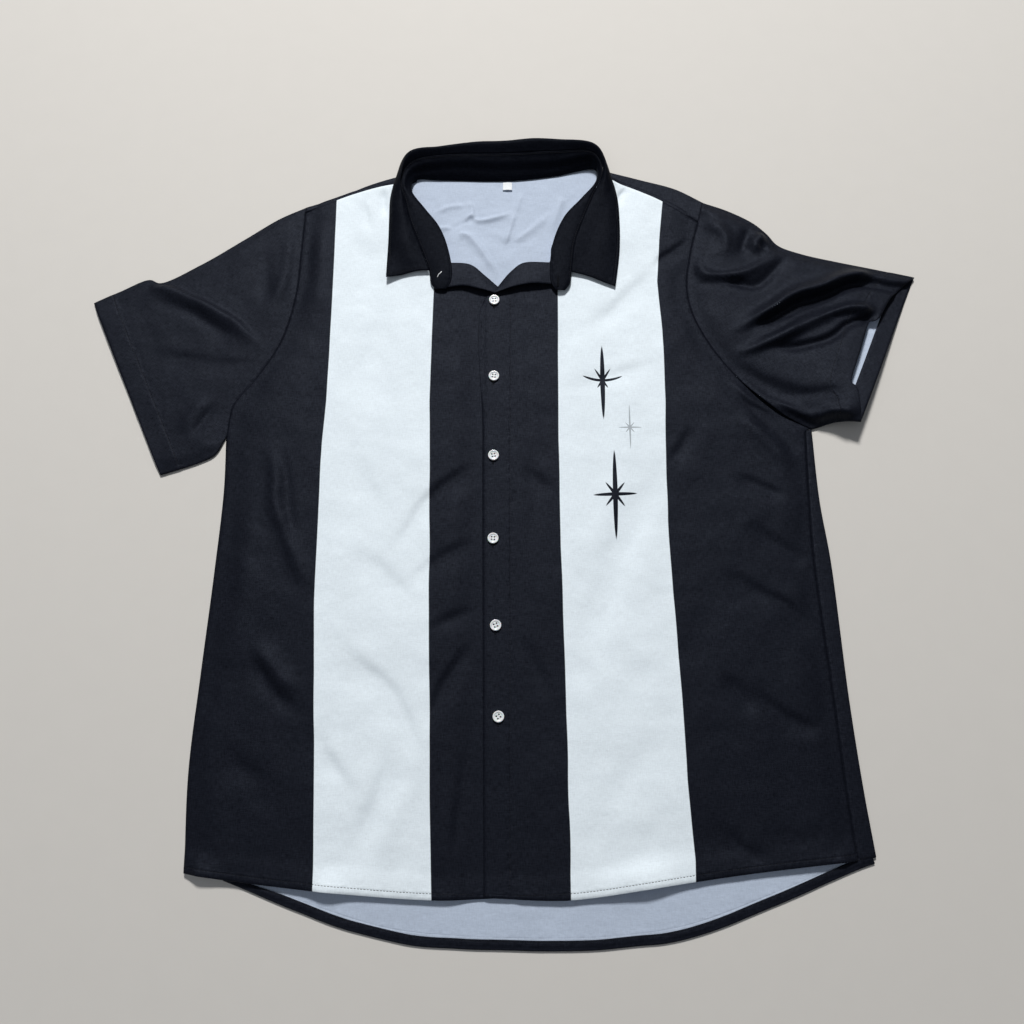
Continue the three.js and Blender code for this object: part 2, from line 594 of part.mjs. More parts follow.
/** A front's edge rolled out below the neck. */
function facing(form) {
  const fold = smoothLine(form.fold, FACING_PIECES);
  const edge = smoothLine(form.edge, FACING_PIECES);
  const rows = FACING_ROWS.map((s) => edge.map((p, k) => p.clone().lerp(fold[k], s)));
  return layerOf(rows, CLOTH);
}

/** A four-hole button, dished inside its rim. */
function buttonBody() {
  const { radius, edge, rim, thickness, dish, hole, pitch } = BUTTON;
  const profile = [
    [0, 0], [radius - edge, 0], [radius, edge], [radius, thickness - edge], [radius - edge, thickness],
    [radius - rim, thickness], [radius - rim - dish, thickness - dish], [0, thickness - dish],
  ].map(([r, z]) => new THREE.Vector2(r, z));
  const disc = new THREE.LatheGeometry(profile, 24).rotateX(Math.PI / 2);
  let solid = solidOf(disc);
  for (const sx of [-1, 1]) {
    for (const sy of [-1, 1]) {
      const drill = new THREE.CylinderGeometry(hole, hole, thickness * 3, 8).rotateX(Math.PI / 2);
      drill.translate((sx * pitch) / 2, (sy * pitch) / 2, thickness / 2);
      solid = solid.subtract(solidOf(drill));
    }
  }
  return geometryOf(solid);
}

/** Places of the six front buttons, top one first. */
function buttonPlaces() {
  return Array.from({ length: BUTTON_COUNT }, (_, k) => {
    const strayed = Math.max(0, k + 1 - BUTTON_LINE.from) / (BUTTON_COUNT - BUTTON_LINE.from);
    const x = BUTTON_LINE.x + BUTTON_LINE.drift * strayed;
    const y = BUTTON_TOP - k * BUTTON_SPACING;
    return new THREE.Vector3(x, y, buttonSeat(x, y));
  });
}

/** The lowest height that keeps a button clear of the placket under it. */
function buttonSeat(x, y) {
  const heights = Array.from({ length: BUTTON_PROBES }, (_, k) => {
    const angle = (k * 2 * Math.PI) / BUTTON_PROBES;
    return leftFrontHeight(x + BUTTON.radius * Math.cos(angle), y + BUTTON.radius * Math.sin(angle));
  });
  return Math.max(...heights) + CLOTH / 2 + GAP;
}

/** The bare neck label, hanging from the neck seam. */
function neckLabel() {
  const label = new THREE.BoxGeometry(LABEL.width, LABEL.height, LABEL.wall);
  label.translate(LABEL.x, LABEL.y, CLOTH + GAP + LABEL.wall / 2);
  return label;
}

// ---- the shirt ------------------------------------------------------------------------------

const black = { color: 0x1c1e26, roughness: 0.7, metalness: 0 };
const white = { color: 0xe4edf3, roughness: 0.6, metalness: 0 };
const pearl = { color: 0xe8edf0, roughness: 0.3, metalness: 0 };

const group = new THREE.Group();

/** Adds one named piece to the shirt. */
function piece(name, geometry, look) {
  const mesh = new THREE.Mesh(geometry, new THREE.MeshStandardMaterial(look));
  mesh.name = name;
  group.add(mesh);
  return mesh;
}

/** How far the left sleeve stands off the surface: most at its cuff's lower corner. */
function cuffLift(along, across) {
  return CUFF_LIFT.height * ramp(along, CUFF_LIFT.from, 1) * ramp(across, CUFF_LIFT.from, 1);
}

const rightSleeveShape = sleeve(RIGHT_SLEEVE, rightArmhole, () => 0);
const leftSleeveShape = sleeve(LEFT_SLEEVE, leftArmhole, cuffLift);

piece('back', back(), black);
piece('back_hem_band', backHemBand(), black);
piece('right_front', rightFront(), black);
piece('left_front', leftFront(), black);
piece('right_front_facing', facing(RIGHT_FACING), black);
piece('left_front_facing', facing(LEFT_FACING), black);
piece('right_sleeve', sleeveBody(rightSleeveShape, false), black);
piece('left_sleeve', sleeveBody(leftSleeveShape, true), black);
piece('left_sleeve_hem_band', leftSleeveHemBand(leftSleeveShape), black);
piece('collar_stand', collarStand(), black);
piece('collar_fall', collarFall(), black);
piece('neck_label', neckLabel(), white);
buttonPlaces().forEach((place, k) => {
  piece(`front_button_${k + 1}`, buttonBody(), pearl).position.copy(place);
});
piece('neck_button', buttonBody(), pearl).position.set(NECK_BUTTON.x, NECK_BUTTON.y, NECK_BUTTON.z);

export default group;
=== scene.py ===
"""A short-sleeved bowling shirt, buttoned and laid flat on its back with its collar open.

Tables of places are in millimetres in the row's own frame: +X runs to the wearer's left,
+Y from the hem to the collar and +Z up from the surface. Meshes are made in metres. Right
and left are the wearer's own. Each cut piece of cloth is a closed thin shell that lies on
its solid's form, printed or dyed on its face and pale on its reverse.
"""

import logging
import math
from dataclasses import dataclass, field
from enum import Enum
from typing import Any, Optional, Sequence

import bmesh
import bpy
import numpy as np
from mathutils import Matrix, Vector


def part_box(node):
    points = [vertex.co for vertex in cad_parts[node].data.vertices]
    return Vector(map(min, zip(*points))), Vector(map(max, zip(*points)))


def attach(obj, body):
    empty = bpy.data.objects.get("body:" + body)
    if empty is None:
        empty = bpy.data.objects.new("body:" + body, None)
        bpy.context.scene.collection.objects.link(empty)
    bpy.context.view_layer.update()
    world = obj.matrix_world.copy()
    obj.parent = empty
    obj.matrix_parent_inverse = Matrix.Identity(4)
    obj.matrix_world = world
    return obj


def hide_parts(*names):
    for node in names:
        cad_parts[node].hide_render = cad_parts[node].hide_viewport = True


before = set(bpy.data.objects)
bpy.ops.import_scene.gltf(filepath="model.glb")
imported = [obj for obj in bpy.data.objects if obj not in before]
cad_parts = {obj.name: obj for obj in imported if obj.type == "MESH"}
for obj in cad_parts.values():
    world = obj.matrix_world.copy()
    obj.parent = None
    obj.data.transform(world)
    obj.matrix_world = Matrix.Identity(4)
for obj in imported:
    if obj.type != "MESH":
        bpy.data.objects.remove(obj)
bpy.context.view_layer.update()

log = logging.getLogger("bowling_shirt")

Path = Sequence[Sequence[float]]
Grid = np.ndarray
Runs = Sequence[tuple[np.ndarray, np.ndarray]]
Socket = bpy.types.NodeSocket
Piece = bpy.types.Object

MM = 0.001
BODY = "root"
LAYER = 1.5  # from one layer's middle to the next
LOWER_TOP = 1.0  # upper face of the layer that rests on the surface
UPPER_TOP = 2.7  # upper face of the layer that lies on it
WALL = 0.8  # one layer of cloth, as it shows
BOARD_WALL = 1.0  # two layers and their interlining
HIDDEN_SEAM = 99.0  # a seam distance that means there is no seam near
FINE = 24  # steps from one given point of a line to the next
TINY = 1e-9  # keeps a division by no length finite


class Side(Enum):
    """The wearer's right and left."""

    RIGHT = -1
    LEFT = 1

    @property
    def word(self) -> str:
        """The word that this side's pieces begin with."""
        return self.name.lower()


class Slot(Enum):
    """The record's material slots."""

    SHIRT = "shirt_cloth"
    HEM = "hem_cloth"
    LABEL = "label_cloth"
    BUTTON = "button"


# ---- outlines, which repeat the solids' ----

FRONT_HEM = (
    (-295, -352), (-254, -358), (-175, -367), (-67, -375), (60, -375), (141, -364), (229, -352),
    (326, -341),
)
BACK_HEM = (
    (-295, -352), (-259, -358), (-185, -387), (-107, -410), (-40, -417), (55, -419), (114, -416),
    (171, -407), (246, -381), (327, -348), (344, -338),
)
RIGHT_SIDE = ((-295, -352), (-299, -262), (-295, -168), (-290, -70), (-287, 17), (-289, 74))
LEFT_EDGE = ((344, -338), (338, -278), (332, -194), (326, -57), (320, 6), (318, 83))
LEFT_SEAM = ((326, -341), (321, -270), (317, -194), (309, -57), (309, 6), (311, 80))
RIGHT_ARMHOLE = (
    (-289, 74), (-284, 110), (-264, 138), (-239, 182), (-226, 236), (-223, 290), (-221, 338),
)
LEFT_ARMHOLE = (
    (318, 83), (286, 101), (247, 138), (219, 176), (201, 214), (196, 246), (201, 284), (212, 326),
)
RIGHT_SHOULDER_EDGE = ((-221, 345), (-187, 357), (-150, 374), (-116, 385.5))
RIGHT_SHOULDER_SEAM = ((-221, 338), (-187, 352), (-150, 366), (-133, 370), (-117, 370))
LEFT_SHOULDER_EDGE = ((219, 351), (189, 368), (150, 380), (112, 391))
LEFT_SHOULDER_SEAM = ((212, 326), (174, 350), (140, 367), (112, 378))
BACK_NECK = ((-108, 385), (-84, 381), (-50, 379), (0, 379), (50, 384), (84, 393), (108, 394))
V_POINT = (-8, 243)
RIGHT_NECKLINE = (
    V_POINT, (-22, 253), (-36, 266), (-58, 270), (-65, 297), (-77, 317), (-93, 337), (-108, 360),
    (-117, 370),
)
LEFT_NECKLINE = (
    V_POINT, (7, 260), (18, 269), (47, 272), (50, 291), (58, 309), (74, 337), (96, 359), (112, 378),
)
PLACKET_EDGE = ((-19, -373), (-21, -194), (-23, 6), (-23.5, 78))
PLACKET_TOP = (-24, 228)
UNDER_EDGE = ((4, -373), (4, 78))

# Left and right edges of the pale stripes printed on the fronts, from the hem up.
RIGHT_STRIPE = (
    ((-174, -380), (-176, -340), (-188, -97), (-189, 70), (-187, 115), (-186, 230), (-187, 390)),
    ((-66, -380), (-70, -287), (-74, -136), (-79, 115), (-77, 242), (-76, 390)),
)
LEFT_STRIPE = (
    ((61, -380), (61, -340), (59, -189), (56, -43), (55, 70), (56, 241), (58, 390)),
    (
        (175, -365), (176, -340), (172, -269), (170, -189), (167, -111), (164, -15), (165, 40),
        (167, 114), (167, 194), (164, 253), (168, 302), (174, 355), (176, 380),
    ),
)


# ---- lines and grids ----


def stepped_line(points: Path, steps: int) -> np.ndarray:
    """Points on a smooth line through given ones, with equal steps between each two.

    Args:
        points: The points that the line passes.
        steps: How many steps there are from one given point to the next.

    Returns:
        The line's points, one row each.
    """
    given = np.array(points, float)
    padded = np.vstack([2 * given[0] - given[1], given, 2 * given[-1] - given[-2]])
    pieces = []
    for a, b, c, d in zip(padded, padded[1:], padded[2:], padded[3:]):
        roots = [max(np.linalg.norm(q - p), TINY) ** 0.5 for p, q in ((a, b), (b, c), (c, d))]
        knots = np.cumsum([0, *roots])
        t = np.linspace(knots[1], knots[2], steps, endpoint=False)[:, None]
        low = ((knots[1] - t) * a + t * b) / knots[1]
        mid = ((knots[2] - t) * b + (t - knots[1]) * c) / (knots[2] - knots[1])
        high = ((knots[3] - t) * c + (t - knots[2]) * d) / (knots[3] - knots[2])
        first = ((knots[2] - t) * low + t * mid) / knots[2]
        last = ((knots[3] - t) * mid + (t - knots[1]) * high) / (knots[3] - knots[1])
        pieces.append(((knots[2] - t) * first + (t - knots[1]) * last) / (knots[2] - knots[1]))
    return np.vstack([*pieces, given[-1:]])


def unit(vectors: np.ndarray) -> np.ndarray:
    """The same directions, each of length 1."""
    return vectors / np.maximum(np.linalg.norm(vectors, axis=-1, keepdims=True), TINY)


def upward(count: int) -> np.ndarray:
    """Straight up, once for each point of a line."""
    return np.tile([0.0, 0.0, 1.0], (count, 1))


def resampled(line: np.ndarray, shares: np.ndarray) -> np.ndarray:
    """Points at given shares of a line's length, 0 at its start and 1 at its end.

    Args:
        line: The line's points.
        shares: The shares.

    Returns:
        The points, one row each.
    """
    lengths = np.concatenate([[0], np.cumsum(np.linalg.norm(np.diff(line, axis=0), axis=1))])
    at = shares * lengths[-1]
    return np.stack([np.interp(at, lengths, line[:, k]) for k in range(line.shape[1])], axis=1)


def smooth_line(points: Path, pieces: int) -> np.ndarray:
    """Evenly spaced points on a smooth line through a few given ones."""
    return resampled(stepped_line(points, FINE), np.linspace(0, 1, pieces + 1))


def joined(*lines: np.ndarray) -> np.ndarray:
    """Lines joined end to end, with each shared point kept once."""
    return np.vstack([lines[0], *[line[1:] for line in lines[1:]]])


def fill_borders(bottom: np.ndarray, top: np.ndarray, left: np.ndarray, right: np.ndarray) -> Grid:
    """A grid inside four border lines: bottom and top left to right, sides upward.

    Args:
        bottom: The lower line.
        top: The upper one.
        left: The left one.
        right: The right one.

    Returns:
        The points, rows upward and columns to the right.
    """
    s = np.linspace(0, 1, len(bottom))[None, :, None]
    t = np.linspace(0, 1, len(left))[:, None, None]
    sides = (1 - s) * left[:, None] + s * right[:, None]
    ends = (1 - t) * bottom[None] + t * top[None]
    corners = (
        (1 - s) * (1 - t) * bottom[0] + s * (1 - t) * bottom[-1] + (1 - s) * t * top[0] + s * t * top[-1]
    )
    return ends + sides - corners


def ramp(value: np.ndarray, low: float, high: float) -> np.ndarray:
    """A smooth ramp from 0 at low to 1 at high."""
    share = np.clip((np.asarray(value, float) - low) / (high - low), 0, 1)
    return share * share * (3 - 2 * share)


def nearest_on(line: np.ndarray, places: Grid) -> tuple[np.ndarray, np.ndarray]:
    """How far places lie from a line.

    Args:
        line: The line's points in plan.
        places: An array of points whose first two values are x and y.

    Returns:
        The distance, positive to the left of the line's direction, and the share of the
        line's length at the nearest point.
    """
    x, y = places[..., 0], places[..., 1]
    best = np.full(x.shape, np.inf)
    along = np.zeros(x.shape)
    sign = np.ones(x.shape)
    for k in range(len(line) - 1):
        ax, ay = line[k][:2]
        dx, dy = line[k + 1][:2] - line[k][:2]
        part = np.clip(((x - ax) * dx + (y - ay) * dy) / max(dx * dx + dy * dy, TINY), 0, 1)
        ox, oy = x - ax - part * dx, y - ay - part * dy
        distance = np.hypot(ox, oy)
        closer = distance < best
        best = np.where(closer, distance, best)
        along = np.where(closer, (k + part) / (len(line) - 1), along)
        sign = np.where(closer, np.where(dx * oy - dy * ox >= 0, 1.0, -1.0), sign)
    return best * sign, along


def falloff(distance: np.ndarray, reach: float) -> np.ndarray:
    """1 at no distance, falling to nothing past reach."""
    return np.exp(-((distance / reach) ** 2))


def distance_to(points: Path, places: Grid, pieces: int = 24) -> np.ndarray:
    """Unsigned distance in plan from places to a smooth line through given points."""
    return np.abs(nearest_on(smooth_line(points, pieces), places)[0])


@dataclass(frozen=True)
class Rumple:
    """Soft uneven noise over the plan, the same each time.

    Args:
        cell: Size of one undulation, in millimetres.
        seed: Which pattern it is.
        size: How many cells there are before the pattern repeats.
        start: How many cells the pattern is moved, so that no place has a cell below 0.
    """

    cell: float
    seed: int
    size: int = 61
    start: int = 1000

    def at(self, places: Grid) -> np.ndarray:
        """The noise at places, from about -1 to 1.

        Args:
            places: Points whose first two values are x and y.

        Returns:
            The noise.
        """
        lattice = np.random.RandomState(self.seed).uniform(-1, 1, (self.size, self.size))
        u = places[..., 0] / self.cell + self.start
        v = places[..., 1] / self.cell + self.start
        iu, iv = np.floor(u).astype(int), np.floor(v).astype(int)
        fu, fv = u - iu, v - iv
        fu, fv = fu ** 3 * (fu * (fu * 6 - 15) + 10), fv ** 3 * (fv * (fv * 6 - 15) + 10)
        left, right = iu % self.size, (iu + 1) % self.size
        low, high = iv % self.size, (iv + 1) % self.size
        near = lattice[left, low] * (1 - fu) + lattice[right, low] * fu
        far = lattice[left, high] * (1 - fu) + lattice[right, high] * fu
        return near * (1 - fv) + far * fv


# ---- how the upper layers lie ----


@dataclass(frozen=True)
class Crease:
    """One soft ridge or trough in a layer of cloth.

    Args:
        path: Its line in plan.
        height: How high it stands, or, below 0, how deep it lies.
        up: How far it reaches on its side towards the collar.
        down: How far it reaches on its side towards the hem.
        fade: The share of its length that fades in at its start and out at its end.
    """

    path: Path
    height: float
    up: float = 8
    down: float = 8
    fade: tuple[float, float] = (0.35, 0.35)

    def lift(self, places: Grid) -> np.ndarray:
        """How far the crease moves the cloth up at places.

        Args:
            places: Points whose first two values are x and y.

        Returns:
            The height.
        """
        line = smooth_line(self.path, 16)
        reach = 3 * max(self.up, self.down)
        inside = (
            (places[..., 0] > line[:, 0].min() - reach) & (places[..., 0] < line[:, 0].max() + reach)
            & (places[..., 1] > line[:, 1].min() - reach) & (places[..., 1] < line[:, 1].max() + reach)
        )
        lift = np.zeros(places.shape[:-1])
        distance, along = nearest_on(line, places[inside])
        towards_collar = 1 if line[-1][0] >= line[0][0] else -1
        side = np.where(distance * towards_collar > 0, self.up, self.down)
        start, end = (max(share, 1e-3) for share in self.fade)
        strength = ramp(along, -0.001, start) * ramp(1 - along, -0.001, end)
        lift[inside] = self.height * strength * np.exp(-((distance / side) ** 2))
        return lift


BODY_CREASES = (
    Crease(((-24, 44), (-50, 33), (-78, 8), (-98, -24), (-124, -62)), -1.3, 5, 19, (0.08, 0.5)),
    Crease(((-160, -38), (-136, -57), (-112, -80), (-80, -108)), -1.2, 8, 22, (0.5, 0.5)),
    Crease(((-178, -126), (-147, -157), (-112, -185), (-88, -228), (-82, -262)), -1.6, 7, 24, (0.5, 0.4)),
    Crease(((-188, -208), (-174, -236), (-148, -275), (-122, -288)), -1.3, 7, 19, (0.5, 0.5)),
    Crease(((-100, -220), (-109, -245), (-122, -297), (-136, -328), (-144, -352)), -1.5, 8, 17, (0.4, 0.4)),
    Crease(((-92, -262), (-104, -300), (-112, -344)), 0.9, 8, 12, (0.5, 0.5)),
    Crease(((-172, 60), (-140, 20), (-118, -30)), -0.8, 10, 18, (0.5, 0.5)),
    Crease(((-170, 330), (-150, 270), (-152, 190)), -0.9, 12, 12, (0.5, 0.5)),
    Crease(((-128, 232), (-140, 180), (-170, 120)), -0.8, 10, 14, (0.5, 0.5)),
    Crease(((-23, -40), (-50, -48), (-78, -62), (-112, -88)), -1.0, 4, 12, (0.08, 0.6)),
    Crease(((-22, -104), (-48, -114), (-76, -128)), -1.0, 4, 9, (0.08, 0.5)),
    Crease(((-21, -132), (-44, -156), (-64, -190), (-78, -226)), -1.3, 4, 11, (0.08, 0.5)),
    Crease(((-24, -206), (-34, -240), (-42, -290), (-48, -346)), -1.2, 5, 9, (0.1, 0.3)),
    Crease(((8, -130), (28, -160), (44, -200)), -0.8, 6, 9, (0.2, 0.5)),
    Crease(((8, 40), (30, 30), (54, 8)), -0.7, 6, 9, (0.2, 0.5)),
    Crease(((-253, 71), (-238, 49), (-228, -2), (-212, -47), (-192, -98)), 1.9, 9, 8),
    Crease(((-235, 71), (-227, 35), (-216, -23), (-204, -71)), -1.3, 6, 9),
    Crease(((-249, -137), (-220, -169), (-194, -195)), 1.5, 9, 7),
    Crease(((-245, -150), (-223, -186), (-189, -211)), -1.1, 5, 10),
    Crease(((-262, 30), (-258, -60), (-268, -170)), 1.1, 12, 12, (0.5, 0.5)),
    Crease(((-270, -230), (-246, -262), (-214, -276)), -0.9, 8, 14, (0.5, 0.5)),
    Crease(((-205, 330), (-200, 270), (-204, 200)), 1.0, 9, 10),
    Crease(((166, 46), (140, 8), (108, -66), (80, -151), (66, -206)), -1.7, 17, 14, (0.3, 0.5)),
    Crease(((168, 272), (115, 218), (66, 184)), -1.2, 8, 15, (0.3, 0.5)),
    Crease(((56, 128), (110, 140), (166, 158)), -0.8, 8, 13, (0.4, 0.4)),
    Crease(((150, -210), (120, -262), (84, -300)), -0.7, 12, 16, (0.5, 0.5)),
    Crease(((205, 306), (186, 291), (170, 279), (160, 262)), -1.5, 4, 8, (0.2, 0.4)),
    Crease(((228, 36), (258, 24), (288, 6)), -1.1, 4, 10, (0.4, 0.3)),
    Crease(((238, -14), (270, -35), (303, -62)), -1.2, 4, 11, (0.4, 0.2)),
    Crease(((212, -64), (250, -87), (283, -108), (306, -132)), -1.3, 4, 12, (0.4, 0.2)),
    Crease(((206, -168), (226, -186), (246, -210)), -1.0, 5, 10, (0.4, 0.4)),
    Crease(((232, -178), (266, -205), (304, -226)), -1.2, 4, 11, (0.4, 0.2)),
    Crease(((192, -308), (222, -331), (250, -345)), -1.0, 5, 9, (0.4, 0.3)),
    Crease(((196, 88), (180, 63), (166, 44)), -1.0, 5, 9),
    Crease(((243, 125), (265, 107), (284, 85), (306, 58)), -1.8, 4, 8, (0.3, 0.15)),
    Crease(((236, 104), (262, 80), (298, 40)), 1.4, 6, 9),
    Crease(((20, 180), (32, 60), (24, -80)), -0.6, 9, 9),
    Crease(((-161, 354), (-152, 330), (-145, 304)), -0.9, 5, 9, (0.4, 0.5)),
    Crease(((-137, 367), (-133, 350), (-131, 326)), -1.2, 3, 6, (0.3, 0.5)),
    Crease(((134, 371), (126, 358), (128, 340)), -1.2, 3, 6, (0.3, 0.5)),
)
SLEEVE_CREASES = (
    Crease(
        ((-384, 254), (-354, 240), (-327, 226), (-291, 207), (-271, 188), (-250, 168)), 4.6, 4, 10,
        (0.1, 0.4),
    ),
    Crease(((-380, 236), (-350, 222), (-316, 204), (-280, 182)), -1.8, 6, 9),
    Crease(((-385, 171), (-355, 165), (-323, 160), (-291, 156), (-259, 153)), -1.8, 6, 13),
    Crease(((-298, 118), (-309, 100), (-320, 80), (-323, 70)), -2.0, 4, 7),
    Crease(((-310, 122), (-322, 102), (-336, 76)), 1.8, 6, 7),
    Crease(((-262, 302), (-261, 260), (-254, 218)), -2.0, 8, 9),
    Crease(((-236, 330), (-238, 262), (-252, 205)), 2.2, 8, 7),
    Crease(
        ((232, 188), (267, 206), (310, 230), (343, 244), (376, 254), (397, 250)), 11.0, 9, 4, (0.35, 0.1),
    ),
    Crease(
        ((251, 190), (290, 212), (323, 228), (357, 242), (389, 250), (421, 244), (437, 241)), -9.0, 4, 7,
        (0.3, 0.02),
    ),
    Crease(((237, 164), (269, 174), (307, 192), (340, 208), (368, 216), (396, 212)), 8.0, 6, 4, (0.3, 0.1)),
    Crease(((246, 168), (285, 178), (325, 196), (358, 210)), 1.6, 2.5, 3),
    Crease(((250, 176), (285, 186), (322, 208), (352, 221)), 2.2, 3, 4),
    Crease(((277, 172), (309, 176), (341, 182), (363, 200), (396, 210)), -6.0, 3, 7, (0.3, 0.1)),
    Crease(((204, 286), (215, 260), (230, 256), (256, 260), (283, 274), (300, 286)), 5.5, 6, 5),
    Crease(((203, 246), (220, 252), (242, 252), (265, 248), (283, 258), (297, 274), (314, 286)), -4.5, 4, 6),
    Crease(((270, 320), (262, 300), (254, 280)), -4.0, 6, 6),
    Crease(((286, 314), (276, 297), (266, 284)), 4.5, 6, 5),
    Crease(((273, 302), (280, 295), (287, 288)), -3.0, 3, 3),
    Crease(((214, 330), (238, 305), (240, 275)), 4.0, 8, 7, (0.4, 0.4)),
    Crease(((229, 150), (259, 115), (287, 106), (317, 95), (337, 97), (362, 90)), 6.0, 7, 5, (0.3, 0.1)),
    Crease(((240, 160), (270, 135), (310, 120), (352, 122)), -3.0, 6, 8),
)
HEM_CREASES = (
    Crease(((-295, -330), (-294, -352), (-292, -380)), 6, 26, 26, (0.5, 0)),
    Crease(((-168, -345), (-165, -362), (-163, -390)), 5.5, 20, 16, (0.5, 0)),
    Crease(((-4, -350), (-4, -366), (-4, -395)), 3.5, 18, 18, (0.5, 0)),
    Crease(((120, -335), (124, -355), (126, -385)), 6.5, 32, 24, (0.5, 0)),
    Crease(((322, -322), (326, -342), (330, -362)), 5, 26, 26, (0.5, 0)),
)
NECK_CREASES = (
    Crease(((-56, 323), (-47, 325), (-39, 336), (-31, 329), (0, 336), (12, 341)), 1.9, 2.2, 3),
    Crease(((-60, 318), (-45, 327), (-36, 331), (-20, 334)), -1.0, 2, 3),
    Crease(((-53, 313), (-41, 311), (-35, 305), (-17, 278), (-7, 258)), 1.8, 2.4, 5, (0.1, 0.3)),
    Crease(((-3, 290), (11, 341)), 1.3, 4, 2.5, (0.3, 0.2)),
    Crease(((4, 298), (35, 324), (53, 343)), 1.2, 2.6, 5),
    Crease(((63, 358), (55, 335), (50, 311)), 1.4, 3, 5, (0.1, 0.4)),
    Crease(((-77, 319), (-59, 320)), 1.2, 2, 3),
    Crease(((-80, 336), (-62, 346), (-40, 348)), 1.0, 2.4, 3),
    Crease(((-44, 356), (-37, 344), (-38, 330)), 0.9, 2, 3),
    Crease(((20, 366), (14, 350), (12, 336)), 0.8, 2.5, 3),
    Crease(((-30, 312), (0, 300), (30, 306)), -0.8, 5, 5),
)


@dataclass
class Relief:
    """How high the upper layers of the shirt lie over the layer on the surface."""

    body_puff: float = 3.1
    depth: float = 2.3  # how strongly the body's creases are drawn
    puff_reach: float = 18
    lap_middle: float = -10
    lap_calm: float = 16  # how far from the buttons the fronts lie flat
    lap_free: float = 44  # how far from them they lie free
    neck_height: float = 4.5
    neck_reach: float = 12
    neck_start: tuple[float, float] = (6, 32)  # from the lowest point: first, and in full
    hem_height: float = 1.0
    hem_reach: tuple[float, float] = (10, 26)  # in from the hem: in full, and at all
    drop_from: float = 14  # where the left front comes down beside the right one's edge
    drop_to: float = 26
    drift: float = 2.2  # how far the cloth shifts at random before it is creased
    uneven: float = 0.2  # how much the creases vary in strength
    knee: tuple[float, float] = (0.5, 0.35)  # how gently a trough flattens, and its cost
    noises: tuple[tuple[float, int, float], ...] = ((46, 5, 0.75), (19, 6, 0.38), (9, 8, 0.12))

    def loose(self, places: Grid) -> np.ndarray:
        """0 where the fronts are held flat on each other by their buttons, 1 away from there."""
        return ramp(np.abs(places[..., 0] - self.lap_middle), self.lap_calm, self.lap_free)

    def creases(self, places: Grid) -> np.ndarray:
        """What all the creases add up to, after the cloth has shifted a little at random.

        Args:
            places: Places in plan.

        Returns:
            The height, below 0 in a trough.
        """
        drift = np.stack([Rumple(34, seed).at(places) for seed in (3, 4)], axis=-1) * self.drift
        moved = places[..., :2] + drift
        total = self.depth * sum(crease.lift(moved) for crease in BODY_CREASES)
        total = total + sum(crease.lift(moved) for crease in (*SLEEVE_CREASES, *HEM_CREASES))
        uneven = sum(size * Rumple(cell, seed).at(places) for cell, seed, size in self.noises)
        return total * (1 + self.uneven * Rumple(23, 7).at(places)) + uneven

    def over(self, puff: np.ndarray, places: Grid) -> np.ndarray:
        """The creases on a puffed layer, kept off the layer below.

        Args:
            puff: How high the layer stands without creases.
            places: Places in plan.

        Returns:
            The height over the layer below.
        """
        height = puff + self.creases(places) * ramp(puff, -0.6, 1.6)
        softness, cost = self.knee
        return 0.5 * (height + np.sqrt(height * height + softness)) - cost

    def front(self, places: Grid) -> np.ndarray:
        """Upper face of the right front, and of the left one where it lies at the same level.

        Args:
            places: Places in plan.

        Returns:
            The height over the surface.
        """
        pinned = np.minimum.reduce([
            distance_to(line, places) for line in (RIGHT_SIDE, LEFT_SEAM, RIGHT_ARMHOLE, LEFT_ARMHOLE)
        ])
        puff = self.body_puff * (1 - falloff(pinned, self.puff_reach))
        lying = self.over(puff, places) * self.loose(places)
        hem = self.hem_height * (1 - ramp(distance_to(FRONT_HEM, places), *self.hem_reach))
        return UPPER_TOP + lying + hem + self.neck(places)

    def neck(self, places: Grid) -> np.ndarray:
        """How far the rolled neckline stands up, nothing at its lowest point.

        Args:
            places: Places in plan.

        Returns:
            The height over the layer's own.
        """
        distance = np.minimum(distance_to(RIGHT_NECKLINE, places), distance_to(LEFT_NECKLINE, places))
        from_point = np.hypot(places[..., 0] - V_POINT[0], places[..., 1] - V_POINT[1])
        return self.neck_height * ramp(from_point, *self.neck_start) * falloff(distance, self.neck_reach)

    def lap(self, places: Grid) -> np.ndarray:
        """How much higher the left front lies than the right one."""
        return LAYER * (1 - ramp(places[..., 0], self.drop_from, self.drop_to))


RELIEF = Relief()


# ---- shells ----


def lifted(plan: Grid, height: np.ndarray) -> Grid:
    """A plan grid with heights as its third value."""
    return np.concatenate([plan[..., :2], height[..., None]], axis=-1)


def placed(name: str, data: bpy.types.ID) -> Piece:
    """Puts a mesh, a lamp or a camera in the scene.

    Args:
        name: The object's name.
        data: What it holds.

    Returns:
        The new object, at the origin.
    """
    made = bpy.data.objects.new(name, data)
    bpy.context.scene.collection.objects.link(made)
    return made


